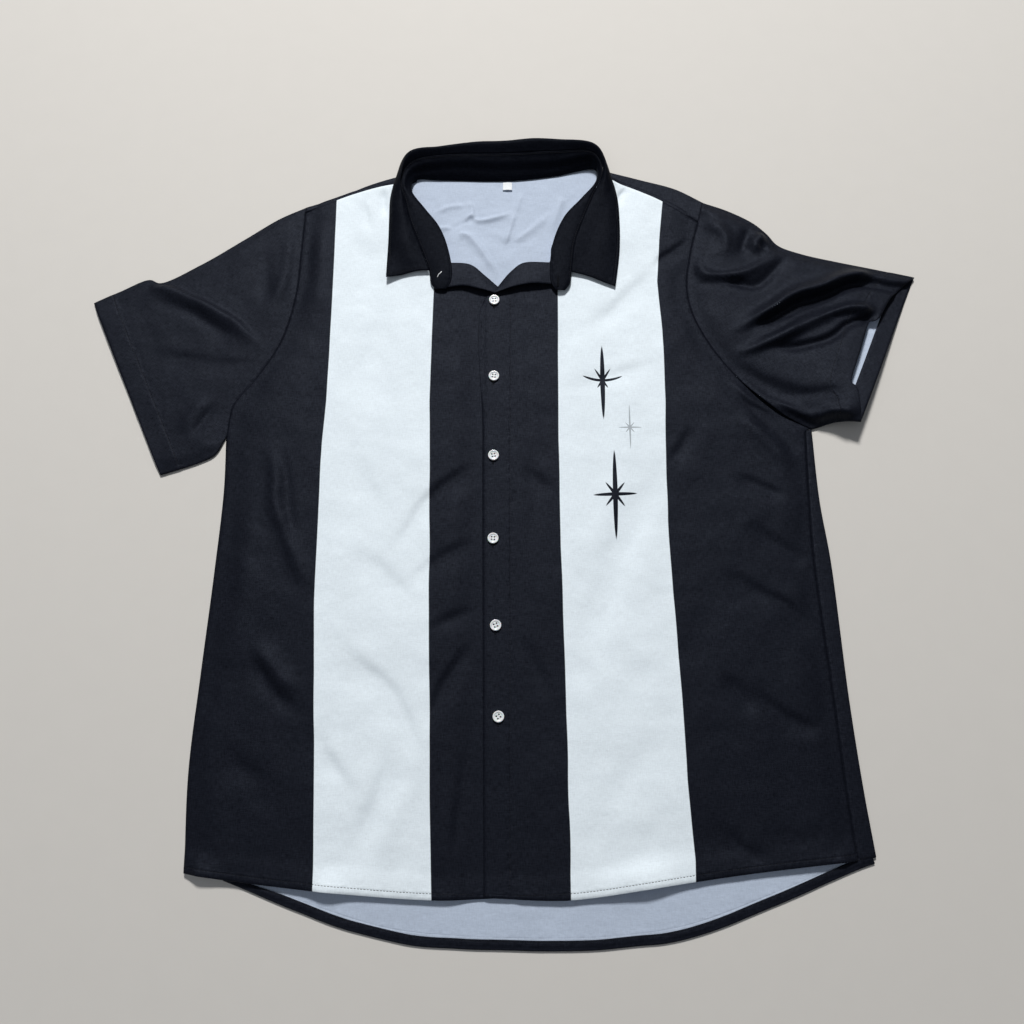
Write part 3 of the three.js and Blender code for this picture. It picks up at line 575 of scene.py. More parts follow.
@dataclass
class Shell:
    """A closed thin wall of cloth, built inward from a grid of points on its face.

    Args:
        face: The face's points, rows by columns, with columns to the right and rows upward
            as seen from outside.
        wall: How thick the cloth is.
        ring: Whether the last column joins the first, as round a sleeve.
        grain: Turn of the weave in plan, in degrees.
        rim: How far the rounded rim stands out, as a share of the wall.
        attributes: Values that the mesh carries at its points, such as the distance to a seam.
    """

    face: Grid
    wall: float = WALL
    ring: bool = False
    grain: float = 0
    rim: float = 0.4
    attributes: dict[str, np.ndarray] = field(default_factory=dict)

    def normals(self) -> Grid:
        """Unit vectors out of the face at each point."""
        if self.ring:
            across = np.roll(self.face, -1, axis=1) - np.roll(self.face, 1, axis=1)
        else:
            across = np.gradient(self.face, axis=1)
        return unit(np.cross(across, np.gradient(self.face, axis=0)))

    def borders(self) -> list[np.ndarray]:
        """Closed runs of point numbers round the open borders, anticlockwise from outside."""
        rows, columns = self.face.shape[:2]
        number = np.arange(rows * columns).reshape(rows, columns)
        if self.ring:
            return [number[0], number[-1][::-1]]
        sides = [number[0], number[1:, -1], number[-1, -2::-1], number[-2:0:-1, 0]]
        return [np.concatenate(sides)]

    def quads(self) -> np.ndarray:
        """The face's quads by point number."""
        rows, columns = self.face.shape[:2]
        number = np.arange(rows * columns).reshape(rows, columns)
        following = np.roll(number, -1, axis=1)
        if not self.ring:
            number, following = number[:, :-1], following[:, :-1]
        corners = [number[:-1], following[:-1], following[1:], number[1:]]
        return np.stack(corners, axis=-1).reshape(-1, 4)

    def outward(self) -> Grid:
        """Directions away from the cloth, in its own surface, along its borders."""
        out = np.zeros_like(self.face)
        out[0] += self.face[0] - self.face[1]
        out[-1] += self.face[-1] - self.face[-2]
        if not self.ring:
            out[:, 0] += self.face[:, 0] - self.face[:, 1]
            out[:, -1] += self.face[:, -1] - self.face[:, -2]
        return unit(out)

    def build(self, name: str) -> Piece:
        """Makes the closed mesh: face, reverse and a rounded rim.

        Args:
            name: The piece's name.

        Returns:
            The new object, at the origin.
        """
        face = self.face.reshape(-1, 3)
        reverse = (self.face - self.normals() * self.wall).reshape(-1, 3)
        out = self.outward().reshape(-1, 3)
        count = len(face)
        quads = [self.quads(), self.quads()[:, ::-1] + count]
        points, sources = [face, reverse], [np.arange(count), np.arange(count)]
        start = 2 * count
        for border in self.borders():
            points.append((face[border] + reverse[border]) / 2 + out[border] * self.wall * self.rim)
            sources.append(border)
            middle = start + np.arange(len(border))
            start += len(border)
            following = np.roll(np.arange(len(border)), -1)
            quads.append(np.stack([border, middle, middle[following], border[following]], axis=1))
            low = border + count
            quads.append(np.stack([middle, low, low[following], middle[following]], axis=1))
        vertices, source = np.vstack(points), np.concatenate(sources)
        mesh = bpy.data.meshes.new(name)
        mesh.from_pydata((vertices * MM).tolist(), [], np.vstack(quads).tolist())
        inner = np.zeros(len(mesh.polygons), dtype=np.int32)
        inner[len(quads[0]):2 * len(quads[0])] = 1
        mesh.polygons.foreach_set("material_index", inner)
        mesh.shade_smooth()
        for key, values in self.attributes.items():
            layer = mesh.attributes.new(key, "FLOAT", "POINT")
            layer.data.foreach_set("value", values.reshape(-1)[source].astype(np.float32))
        self.lay_weave(mesh, vertices)
        mesh.update()
        return placed(name, mesh)

    def lay_weave(self, mesh: bpy.types.Mesh, vertices: np.ndarray) -> None:
        """Gives the mesh a map in metres, turned with the cloth's grain.

        Args:
            mesh: The mesh.
            vertices: Its points, in millimetres.
        """
        angle = math.radians(self.grain)
        turn = np.array([[math.cos(angle), -math.sin(angle)], [math.sin(angle), math.cos(angle)]])
        corner = np.zeros(len(mesh.loops), dtype=np.int32)
        mesh.loops.foreach_get("vertex_index", corner)
        placed = (vertices[:, :2] * MM) @ turn
        mesh.uv_layers.new(name="weave").data.foreach_set("uv", placed[corner].reshape(-1))


def settle(piece: Piece, nodes: Sequence[str] = ()) -> Piece:
    """Puts a finished piece on the shirt's body, hides the solids it stands for and logs its face count.

    Args:
        piece: The finished piece.
        nodes: The solids it stands for.

    Returns:
        The same piece.
    """
    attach(piece, BODY)
    if nodes:
        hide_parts(*nodes)
    log.info("%s: %d faces", piece.name, len(piece.data.polygons))
    return piece


def dress(piece: Piece, *materials: bpy.types.Material) -> None:
    """Gives a piece its materials, its face's first and its reverse's second."""
    for material in materials:
        piece.data.materials.append(material)


def sewn(
    shell: Shell, name: str, finishes: Sequence[bpy.types.Material], slot: Slot, *nodes: str,
) -> Piece:
    """Makes one cut piece of cloth from its shell and puts it on the shirt.

    Args:
        shell: The piece's form.
        name: The piece's name.
        finishes: What its face and its reverse are made of.
        slot: Not used.
        nodes: The solids it stands for.

    Returns:
        The finished piece.
    """
    piece = shell.build(name)
    dress(piece, *finishes)
    return settle(piece, nodes)


def no_seam(face: Grid) -> dict[str, np.ndarray]:
    """What a shell carries at its points when no seam is near."""
    return {"seam": np.full(face.shape[:2], HIDDEN_SEAM)}


# ---- finishes ----


class Bench:
    """A material's node tree while it is being put together."""

    def __init__(self, name: str) -> None:
        """Starts a material with its shader and output joined."""
        self.material = bpy.data.materials.new(name)
        self.material.use_nodes = True
        self.tree = self.material.node_tree
        self.shader = next(n for n in self.tree.nodes if n.type == "BSDF_PRINCIPLED")

    def node(self, kind: str, **settings: Any) -> bpy.types.Node:
        """A new node with some of its settings given.

        Args:
            kind: The node's type.
            settings: Its settings.

        Returns:
            The node.
        """
        made = self.tree.nodes.new(kind)
        for key, value in settings.items():
            setattr(made, key, value)
        return made

    def feed(self, socket: Socket, value: Any) -> None:
        """Sets a socket to a value, or links another node's socket to it.

        Args:
            socket: The input.
            value: A value, or the output to link.
        """
        if isinstance(value, Socket):
            self.tree.links.new(value, socket)
        else:
            socket.default_value = value

    def math(self, operation: str, *values: Any, clamp: bool = False) -> Socket:
        """A sum worked out by one Math node.

        Args:
            operation: What it works out.
            values: What it works on.
            clamp: Whether the result stays from 0 to 1.

        Returns:
            The result's socket.
        """
        made = self.node("ShaderNodeMath", operation=operation, use_clamp=clamp)
        for socket, value in zip(made.inputs, values):
            self.feed(socket, value)
        return made.outputs[0]

    def step(self, value: Any, low: float, high: float) -> Socket:
        """0 below low and 1 above high, smooth between.

        Args:
            value: What is compared.
            low: Where it starts.
            high: Where it ends.

        Returns:
            The result's socket.
        """
        made = self.node("ShaderNodeMapRange", interpolation_type="SMOOTHSTEP")
        for socket, given in zip(made.inputs, (value, low, high, 0.0, 1.0)):
            self.feed(socket, given)
        return made.outputs[0]

    def bell(self, value: Any, reach: float) -> Socket:
        """1 where a value is 0, falling to nothing past reach."""
        share = self.math("DIVIDE", value, reach)
        return self.math("EXPONENT", self.math("MULTIPLY", self.math("MULTIPLY", share, share), -1.0))

    def blend(self, share: Any, one: Any, other: Any) -> Socket:
        """One colour changing to another as share goes from 0 to 1.

        Args:
            share: The share of the other.
            one: The colour at 0.
            other: The colour at 1.

        Returns:
            The result's socket.
        """
        made = self.node("ShaderNodeMix", data_type="RGBA")
        self.feed(made.inputs["Factor"], share)
        self.feed(made.inputs["A"], one)
        self.feed(made.inputs["B"], other)
        return made.outputs["Result"]

    def noise(self, where: Any, scale: float, detail: float = 2.0) -> Socket:
        """Noise from -0.5 to 0.5 at a scale of so many per metre.

        Args:
            where: The place.
            scale: The scale.
            detail: How many finer layers it has.

        Returns:
            The result's socket.
        """
        made = self.node("ShaderNodeTexNoise")
        self.feed(made.inputs["Vector"], where)
        self.feed(made.inputs["Scale"], scale)
        self.feed(made.inputs["Detail"], detail)
        return self.math("SUBTRACT", made.outputs["Fac"], 0.5)

    def shaded(self, colour: Any, value: Any) -> Socket:
        """A colour made lighter or darker.

        Args:
            colour: The colour, or a socket that gives it.
            value: What it is multiplied by, or a socket that gives it.

        Returns:
            The socket with the new colour.
        """
        made = self.node("ShaderNodeHueSaturation")
        self.feed(made.inputs["Color"], colour)
        self.feed(made.inputs["Value"], value)
        return made.outputs["Color"]

    def stretched(self, where: Any, scale: Sequence[float], turn: float = 0) -> Socket:
        """A place turned and stretched.

        Args:
            where: The socket that gives the place.
            scale: What its x, y and z are multiplied by.
            turn: How far it is turned about z, in degrees.

        Returns:
            The socket with the new place.
        """
        made = self.node("ShaderNodeMapping")
        self.feed(made.inputs["Vector"], where)
        made.inputs["Rotation"].default_value = (0, 0, math.radians(turn))
        made.inputs["Scale"].default_value = scale
        return made.outputs[0]

    def woven(self) -> Socket:
        """The place along the weft and the warp, in metres."""
        return self.node("ShaderNodeUVMap", uv_map="weave").outputs[0]

    def parts(self, where: Socket) -> Sequence[Socket]:
        """The x, y and z of a place."""
        split = self.node("ShaderNodeSeparateXYZ")
        self.feed(split.inputs[0], where)
        return split.outputs

    def attribute(self, name: str) -> Socket:
        """A value that the mesh carries at its points."""
        return self.node("ShaderNodeAttribute", attribute_name=name).outputs["Fac"]

    def place(self) -> Socket:
        """The place on the object, in metres."""
        return self.node("ShaderNodeTexCoord").outputs["Object"]

    def bump(self, height: Socket) -> None:
        """Shades the surface as if it were raised by a height in millimetres."""
        made = self.node("ShaderNodeBump")
        made.inputs["Strength"].default_value = 1.0
        made.inputs["Distance"].default_value = MM
        self.feed(made.inputs["Height"], height)
        self.feed(self.shader.inputs["Normal"], made.outputs["Normal"])

    def set(self, **sockets: Any) -> None:
        """Sets the shader's own sockets, with underscores for the spaces in their names."""
        for key, value in sockets.items():
            self.feed(self.shader.inputs[key.replace("_", " ")], value)


Colour = tuple[float, float, float, float]


@dataclass(frozen=True)
class Cloth:
    """A fine plain-woven polyester, dyed or printed.

    Args:
        name: The material's name.
        colour: The cloth's colour.
        pitch: Distance between threads, in metres.
        thread_height: How far the threads stand up, in millimetres.
        roughness: How dull the cloth is.
        varied: How far its colour and its dullness vary from place to place.
        sheen: How much soft light the nap gives back at a low angle.
        sheen_spread: How widely it does so.
        gloss: How much light the threads mirror.
        tint: The colour of that light.
        rumple: Height of the small unevenness, in millimetres.
        broad_rumple: How much higher the wide unevenness is.
        crinkle_height: How much lower the faint short creases are.
        crinkle_turn: Which way those run, in degrees.
        groove: Depth of a seam, in millimetres.
        groove_reach: How wide the seam is, in millimetres.
        pucker: How much higher the puckers beside a seam are.
        pucker_reach: How far from the seam they go, in millimetres.
        slub: How much the threads vary in shade.
        slub_gloss: How much more they vary in gloss.
        slub_length: How long a streak is, as the share that it is stretched by.
    """

    name: str
    colour: Colour
    pitch: float = 0.0005
    thread_height: float = 0.02
    roughness: float = 0.58
    varied: float = 0.12
    sheen: float = 0.02
    sheen_spread: float = 0.35
    gloss: float = 0.16
    tint: Colour = (0.67, 0.77, 1.0, 1)
    rumple: float = 0.5
    broad_rumple: float = 2.4
    crinkle_height: float = 0.55
    crinkle_turn: float = -32
    groove: float = 0.22
    groove_reach: float = 0.8
    pucker: float = 3.5
    pucker_reach: float = 4.5
    slub: float = 0.8
    slub_gloss: float = 1.4
    slub_length: float = 0.16

    def material(self) -> bpy.types.Material:
        """The finished material."""
        bench = Bench(self.name)
        self.finish(bench, self.tinted(bench, self.colour))
        return bench.material

    def tinted(self, bench: Bench, colour: Any, slub: Any = None) -> Socket:
        """A colour that varies a little over the cloth, and from thread to thread.

        Args:
            bench: The material.
            colour: Its colour.
            slub: How much the threads vary, if not as the cloth's own do.

        Returns:
            The result's socket.
        """
        place = bench.place()
        uneven = bench.math("ADD", bench.noise(place, 30, 3), bench.noise(place, 900, 1))
        broad = bench.math("MULTIPLY_ADD", uneven, self.varied, 1.0)
        threads = bench.math("MULTIPLY", self.slubs(bench), self.slub if slub is None else slub)
        return bench.shaded(colour, bench.math("ADD", broad, threads))

    def slubs(self, bench: Bench) -> Socket:
        """How thick the threads run, as short streaks along the warp and along the weft."""
        woven = bench.woven()
        scales = ((1, self.slub_length, 1), (self.slub_length, 1, 1))
        streaks = [bench.noise(bench.stretched(woven, scale), 1050, 1) for scale in scales]
        return bench.math("ADD", *streaks)

    def finish(self, bench: Bench, colour: Any) -> None:
        """Sets the sheen and roughness, and raises the weave, seams and small creases."""
        bench.set(Base_Color=colour, Sheen_Weight=self.sheen, Sheen_Roughness=self.sheen_spread)
        change = self.gloss * self.slub * self.slub_gloss
        shine = bench.math("MULTIPLY_ADD", self.slubs(bench), change, self.gloss)
        bench.set(Sheen_Tint=self.tint, Specular_IOR_Level=shine, Specular_Tint=self.tint)
        place = bench.place()
        rough = bench.math("MULTIPLY_ADD", bench.noise(place, 60, 2), self.varied, self.roughness)
        bench.set(Roughness=rough)
        small = bench.math("MULTIPLY", bench.noise(place, 45, 3), self.rumple)
        broad = bench.math("MULTIPLY", bench.noise(place, 14, 2), self.rumple * self.broad_rumple)
        raised = bench.math("ADD", bench.math("ADD", small, broad), self.weave(bench))
        raised = bench.math("ADD", raised, self.crinkle(bench, place))
        bench.bump(bench.math("ADD", raised, self.seam(bench, place)))

    def crinkle(self, bench: Bench, place: Socket) -> Socket:
        """Faint short creases that run down and away from the buttons."""
        turned = bench.stretched(place, (0.32, 1, 1), self.crinkle_turn)
        return bench.math("MULTIPLY", bench.noise(turned, 120, 3), self.rumple * self.crinkle_height)

    def weave(self, bench: Bench) -> Socket:
        """Height of the crossing threads."""
        turns = 2 * math.pi / self.pitch
        along = bench.parts(bench.woven())[:2]
        waves = [bench.math("SINE", bench.math("MULTIPLY", part, turns)) for part in along]
        return bench.math("MULTIPLY", bench.math("MULTIPLY", *waves), self.thread_height)

    def seam(self, bench: Bench, place: Socket) -> Socket:
        """The groove of a seam and the puckers beside it."""
        away = bench.attribute("seam")
        groove = bench.math("MULTIPLY", bench.bell(away, self.groove_reach), -self.groove)
        pucker = bench.math("MULTIPLY", bench.noise(place, 170, 1), bench.bell(away, self.pucker_reach))
        return bench.math("MULTIPLY_ADD", pucker, self.groove * self.pucker, groove)


@dataclass(frozen=True)
class StarArm:
    """One arm of a star, in millimetres.

    Args:
        ahead: Its length in its own direction.
        behind: Its length the other way.
        half_width: Half its width at the star's middle.
        angle: Its direction, in degrees from +X.
        bend: How strongly it bows.
        taper: How late it narrows, 1 for an arm that narrows from the middle on.
    """

    ahead: float
    behind: float
    half_width: float
    angle: float
    bend: float = 0
    taper: float = 1.7


@dataclass(frozen=True)
class Star:
    """A pointed star motif.

    Args:
        centre: Its middle on the shirt, in millimetres.
        arms: Its arms.
        ink: The share of full ink it is printed with.
    """

    centre: tuple[float, float]
    arms: tuple[StarArm, ...]
    ink: float = 1.0

    def mask(self, bench: Bench, x: Any, y: Any) -> Socket:
        """1 inside the star and 0 outside it, times its ink.

        Args:
            bench: The material.
            x: The place's x, in millimetres.
            y: Its y.

        Returns:
            The result's socket.
        """
        dx = bench.math("SUBTRACT", x, self.centre[0])
        dy = bench.math("SUBTRACT", y, self.centre[1])
        inside: Any = 0.0
        for arm in self.arms:
            c, s = math.cos(math.radians(arm.angle)), math.sin(math.radians(arm.angle))
            along = bench.math("MULTIPLY_ADD", dx, c, bench.math("MULTIPLY", dy, s))
            across = bench.math("MULTIPLY_ADD", dy, c, bench.math("MULTIPLY", dx, -s))
            if arm.bend:
                bow = bench.math("MULTIPLY", bench.math("MULTIPLY", along, along), -arm.bend)
                across = bench.math("ADD", across, bow)
            onward = bench.math("DIVIDE", bench.math("MAXIMUM", along, 0.0), arm.ahead)
            back = bench.math("DIVIDE", bench.math("MINIMUM", along, 0.0), -arm.behind)
            share = bench.math("DIVIDE", across, arm.half_width)
            reach = bench.math("POWER", bench.math("ADD", onward, back), arm.taper)
            edge = bench.math("MULTIPLY_ADD", share, share, reach)
            within = bench.step(bench.math("SUBTRACT", 1.0, edge), -0.1, 0.1)
            inside = bench.math("MAXIMUM", inside, within)
        return bench.math("MULTIPLY", inside, self.ink)


STARS = (
    Star((102, 137), (
        StarArm(38, 43, 2.5, 90), StarArm(20.5, 20.5, 1.5, 0, 0.0112, 3),
        StarArm(15, 10, 1.5, 57, 0, 1.1), StarArm(10, 15, 1.5, -57, 0, 1.1),
    )),
    Star((129, 84), (
        StarArm(25, 23, 0.8, 90), StarArm(12, 11.5, 0.8, 0), StarArm(7, 7, 0.8, 50, 0, 1),
        StarArm(7, 7, 0.8, -50, 0, 1),
    ), 0.52),
    Star((112, 12), (
        StarArm(46, 46, 2.5, 90), StarArm(22, 22, 1.9, 3), StarArm(15.5, 15.5, 1.8, 52, 0, 1.1),
        StarArm(15.5, 15.5, 1.8, -52, 0, 1.1),
    )),
)


@dataclass(frozen=True)
class PrintedCloth(Cloth):
    """The fronts' cloth: dark, with a pale stripe and star motifs printed on it.

    Args:
        pale: The stripe's colour.
        stars: The motifs, printed in the dark colour.
        stripe_edge: How far the stripe's edge is soft on either side, in millimetres.
        stripe_slub: How much less the threads show in the stripe.
    """

    pale: Colour = (0.78, 0.86, 0.92, 1)
    stars: tuple[Star, ...] = ()
    stripe_edge: float = 0.35
    stripe_slub: float = 0.8

    def material(self) -> bpy.types.Material:
        """The finished material."""
        bench = Bench(self.name)
        x, y = (bench.math("MULTIPLY", part, 1 / MM) for part in bench.parts(bench.place())[:2])
        stripe = bench.step(bench.attribute("stripe"), -self.stripe_edge, self.stripe_edge)
        printed = bench.blend(stripe, self.colour, self.pale)
        for star in self.stars:
            printed = bench.blend(star.mask(bench, x, y), printed, self.colour)
        slub = bench.math("MULTIPLY_ADD", stripe, -self.stripe_slub * self.slub, self.slub)
        self.finish(bench, self.tinted(bench, printed, slub))
        return bench.material


@dataclass(frozen=True)
class Thread:
    """Sewing thread, with its twist."""

    name: str
    colour: Colour

    def material(self) -> bpy.types.Material:
        """The finished material."""
        bench = Bench(self.name)
        twist = bench.noise(bench.place(), 2600, 1)
        shade = bench.shaded(self.colour, bench.math("MULTIPLY_ADD", twist, 0.5, 1.0))
        bench.set(Base_Color=shade, Roughness=0.6, Sheen_Weight=0.03)
        bench.set(Specular_IOR_Level=0.15)
        bench.bump(bench.math("MULTIPLY", twist, 0.1))
        return bench.material


@dataclass(frozen=True)
class PearlPlastic:
    """Moulded button plastic with a faint cloudy depth."""

    name: str = "pearl_button_plastic"
    colour: Colour = (0.80, 0.83, 0.84, 1)
    cloud: Colour = (0.62, 0.67, 0.70, 1)

    def material(self) -> bpy.types.Material:
        """The finished material."""
        bench = Bench(self.name)
        place = bench.place()
        cloudy = bench.step(bench.noise(place, 260, 3), -0.12, 0.3)
        rough = bench.math("MULTIPLY_ADD", bench.noise(place, 900, 2), 0.16, 0.26)
        bench.set(Base_Color=bench.blend(cloudy, self.colour, self.cloud), Roughness=rough)
        bench.set(Coat_Weight=0.35, Coat_Roughness=0.12, Subsurface_Weight=0.15)
        bench.set(Subsurface_Scale=0.001)
        bench.bump(bench.math("MULTIPLY", bench.noise(place, 700, 2), 0.02))
        return bench.material


@dataclass(frozen=True)
class PlainFloor:
    """A plain pale floor with a fine matt grain."""

    name: str = "plain_pale_floor"
    colour: Colour = (0.62, 0.60, 0.57, 1)

    def material(self) -> bpy.types.Material:
        """The finished material."""
        bench = Bench(self.name)
        grain = bench.noise(bench.place(), 40, 4)
        tint = bench.shaded(self.colour, bench.math("MULTIPLY_ADD", grain, 0.03, 1.0))
        bench.set(Base_Color=tint, Roughness=0.75)
        bench.bump(bench.math("MULTIPLY", grain, 0.05))
        return bench.material


BLACK: Colour = (0.0041, 0.0048, 0.0086, 1)
# Painted shade: a darker copy of the black cloth, for the collar, standing in for the shade that falls on
# it.
SHADE_DARKENED_BLACK: Colour = (0.0021, 0.0026, 0.0050, 1)
# Partly the reverse's own slightly grey white, partly painted shade: darkened for the shade it lies in
# inside the shirt.
GREY_REVERSE_WITH_SHADE: Colour = (0.47, 0.54, 0.66, 1)
LABEL_WHITE: Colour = (0.80, 0.83, 0.86, 1)


class Wardrobe:
    """All the shirt's finishes, each made once."""

    def __init__(self) -> None:
        """Makes the materials."""
        self.black = Cloth("black_cloth", BLACK).material()
        # The collar's black is the shirt's black cloth darkened with painted shade, and given less gloss.
        self.shaded_collar_black = Cloth("collar_black_with_painted_shade", SHADE_DARKENED_BLACK, gloss=0.06, groove=0.2).material()
        self.printed = PrintedCloth("striped_front_cloth", BLACK, stars=STARS).material()
        # The reverse's colour carries painted shade on top of its own slight greyness.
        self.reverse = Cloth("reverse_cloth_with_painted_shade", GREY_REVERSE_WITH_SHADE, rumple=0.7, sheen=0.05, slub=0.2).material()
        self.label = Cloth("label_tape", LABEL_WHITE, pitch=0.0004, rumple=0.2, slub=0.1).material()
        self.dark_thread = Thread("dark_thread", (0.0045, 0.005, 0.008, 1)).material()
        self.pale_thread = Thread("pale_thread", (0.78, 0.80, 0.82, 1)).material()
        self.pearl = PearlPlastic().material()
        self.floor = PlainFloor().material()


# ---- stitches ----


def nothing_selected() -> None:
    """Leaves edit mode and deselects everything."""
    if bpy.context.object and bpy.context.object.mode != "OBJECT":
        bpy.ops.object.mode_set(mode="OBJECT")
    bpy.ops.object.select_all(action="DESELECT")


@dataclass
class Stitching:
    """Runs of lockstitch, each stitch a small rounded bead that dips into the cloth at its ends."""

    length: float = 2.6
    gap: float = 0.4
    width: float = 0.55
    height: float = 0.34

    def bead(self) -> tuple[np.ndarray, list[list[int]]]:
        """One stitch as points, along x with z up, and faces; modelled once and copied.

        Returns:
            Its points and its faces.
        """
        nothing_selected()
        bpy.ops.mesh.primitive_uv_sphere_add(segments=6, ring_count=4, radius=0.5)
        stitch = bpy.context.object
        bpy.ops.object.mode_set(mode="EDIT")
        bpy.ops.mesh.select_all(action="SELECT")
        bpy.ops.transform.rotate(value=math.pi / 2, orient_axis="Y", center_override=(0, 0, 0))
        bpy.ops.transform.resize(value=(self.length, self.width, self.height * 2))
        bpy.ops.object.mode_set(mode="OBJECT")
        points = np.array([v.co for v in stitch.data.vertices])
        faces = [list(p.vertices) for p in stitch.data.polygons]
        bpy.data.objects.remove(stitch, do_unlink=True)
        points[:, 2] *= np.where(points[:, 2] < 0, 0.5, 1.0)
        return points, faces

    def run(self, name: str, lines: Runs) -> Piece:
        """Stitches along lines on the cloth.

        Args:
            name: The piece's name.
            lines: For each line, its points and the cloth's outward direction at them.

        Returns:
            One object with all the stitches.
        """
        bead, faces = self.bead()
        pitch = self.length + self.gap
        points, quads = [], []
        for line, normals in lines:
            total = float(np.linalg.norm(np.diff(line, axis=0), axis=1).sum())
            count = max(int(total // pitch), 1)
            middles = (np.arange(count) + 0.5) * pitch / total
            reach = self.length / 2 / total
            at = resampled(line, middles)
            ahead = unit(resampled(line, middles + reach) - resampled(line, middles - reach))
            lengths = np.linspace(0, 1, len(line))
            up = np.stack([np.interp(middles, lengths, normals[:, k]) for k in range(3)], axis=1)
            up = unit(up - (up * ahead).sum(axis=1, keepdims=True) * ahead)
            side = np.cross(up, ahead)
            for centre, a, s, u in zip(at, ahead, side, up):
                base = len(points) * len(bead)
                points.append(centre + bead[:, :1] * a + bead[:, 1:2] * s + bead[:, 2:] * u)
                quads.extend([[base + k for k in face] for face in faces])
        mesh = bpy.data.meshes.new(name)
        mesh.from_pydata((np.vstack(points) * MM).tolist(), [], quads)
        mesh.shade_smooth()
        mesh.update()
        return placed(name, mesh)

    def sew(
        self, name: str, lines: Runs, thread: bpy.types.Material,
    ) -> Piece:
        """Stitches along lines and puts the stitches on the shirt.

        Args:
            name: The piece's name.
            lines: For each line, its points and the cloth's outward direction at them.
            thread: What the stitches are made of.

        Returns:
            The finished piece.
        """
        piece = self.run(name, lines)
        dress(piece, thread)
        return settle(piece)


THREAD_LIFT = 0.05  # how far a row of stitches is raised off the cloth


def front_surface(plan: np.ndarray, left: bool) -> np.ndarray:
    """Heights of the left front's upper face at places, or of the right one's."""
    return RELIEF.front(plan) + (RELIEF.lap(plan) if left else 0)


def on_front(plan: np.ndarray, left: bool, step: float = 1.0) -> tuple[np.ndarray, np.ndarray]:
    """A line drawn on a front.

    Args:
        plan: The line's points in plan.
        left: Whether it is the left front.
        step: How far to either side the cloth's slope is taken.

    Returns:
        The line's points on the cloth and the cloth's outward directions there.
    """
    slopes = []
    for move in ([step, 0], [0, step]):
        rise = front_surface(plan + move, left) - front_surface(plan - move, left)
        slopes.append(-rise / (2 * step))
    here = front_surface(plan, left)
    return lifted(plan, here), unit(np.stack([*slopes, np.ones_like(here)], axis=1))


def offset_line(line: np.ndarray, distance: Any) -> np.ndarray:
    """A plan line moved to its left by a distance."""
    ahead = unit(np.gradient(line[:, :2], axis=0))
    return line[:, :2] + np.stack([-ahead[:, 1], ahead[:, 0]], axis=1) * distance


# ---- the cut pieces ----


SEAMS = {
    Side.RIGHT: (RIGHT_SIDE, RIGHT_ARMHOLE, RIGHT_SHOULDER_SEAM),
    Side.LEFT: (LEFT_SEAM, LEFT_ARMHOLE, LEFT_SHOULDER_SEAM),
}
SEAM_REACH = 1.8  # how far from a seam the cloth begins to roll down into it


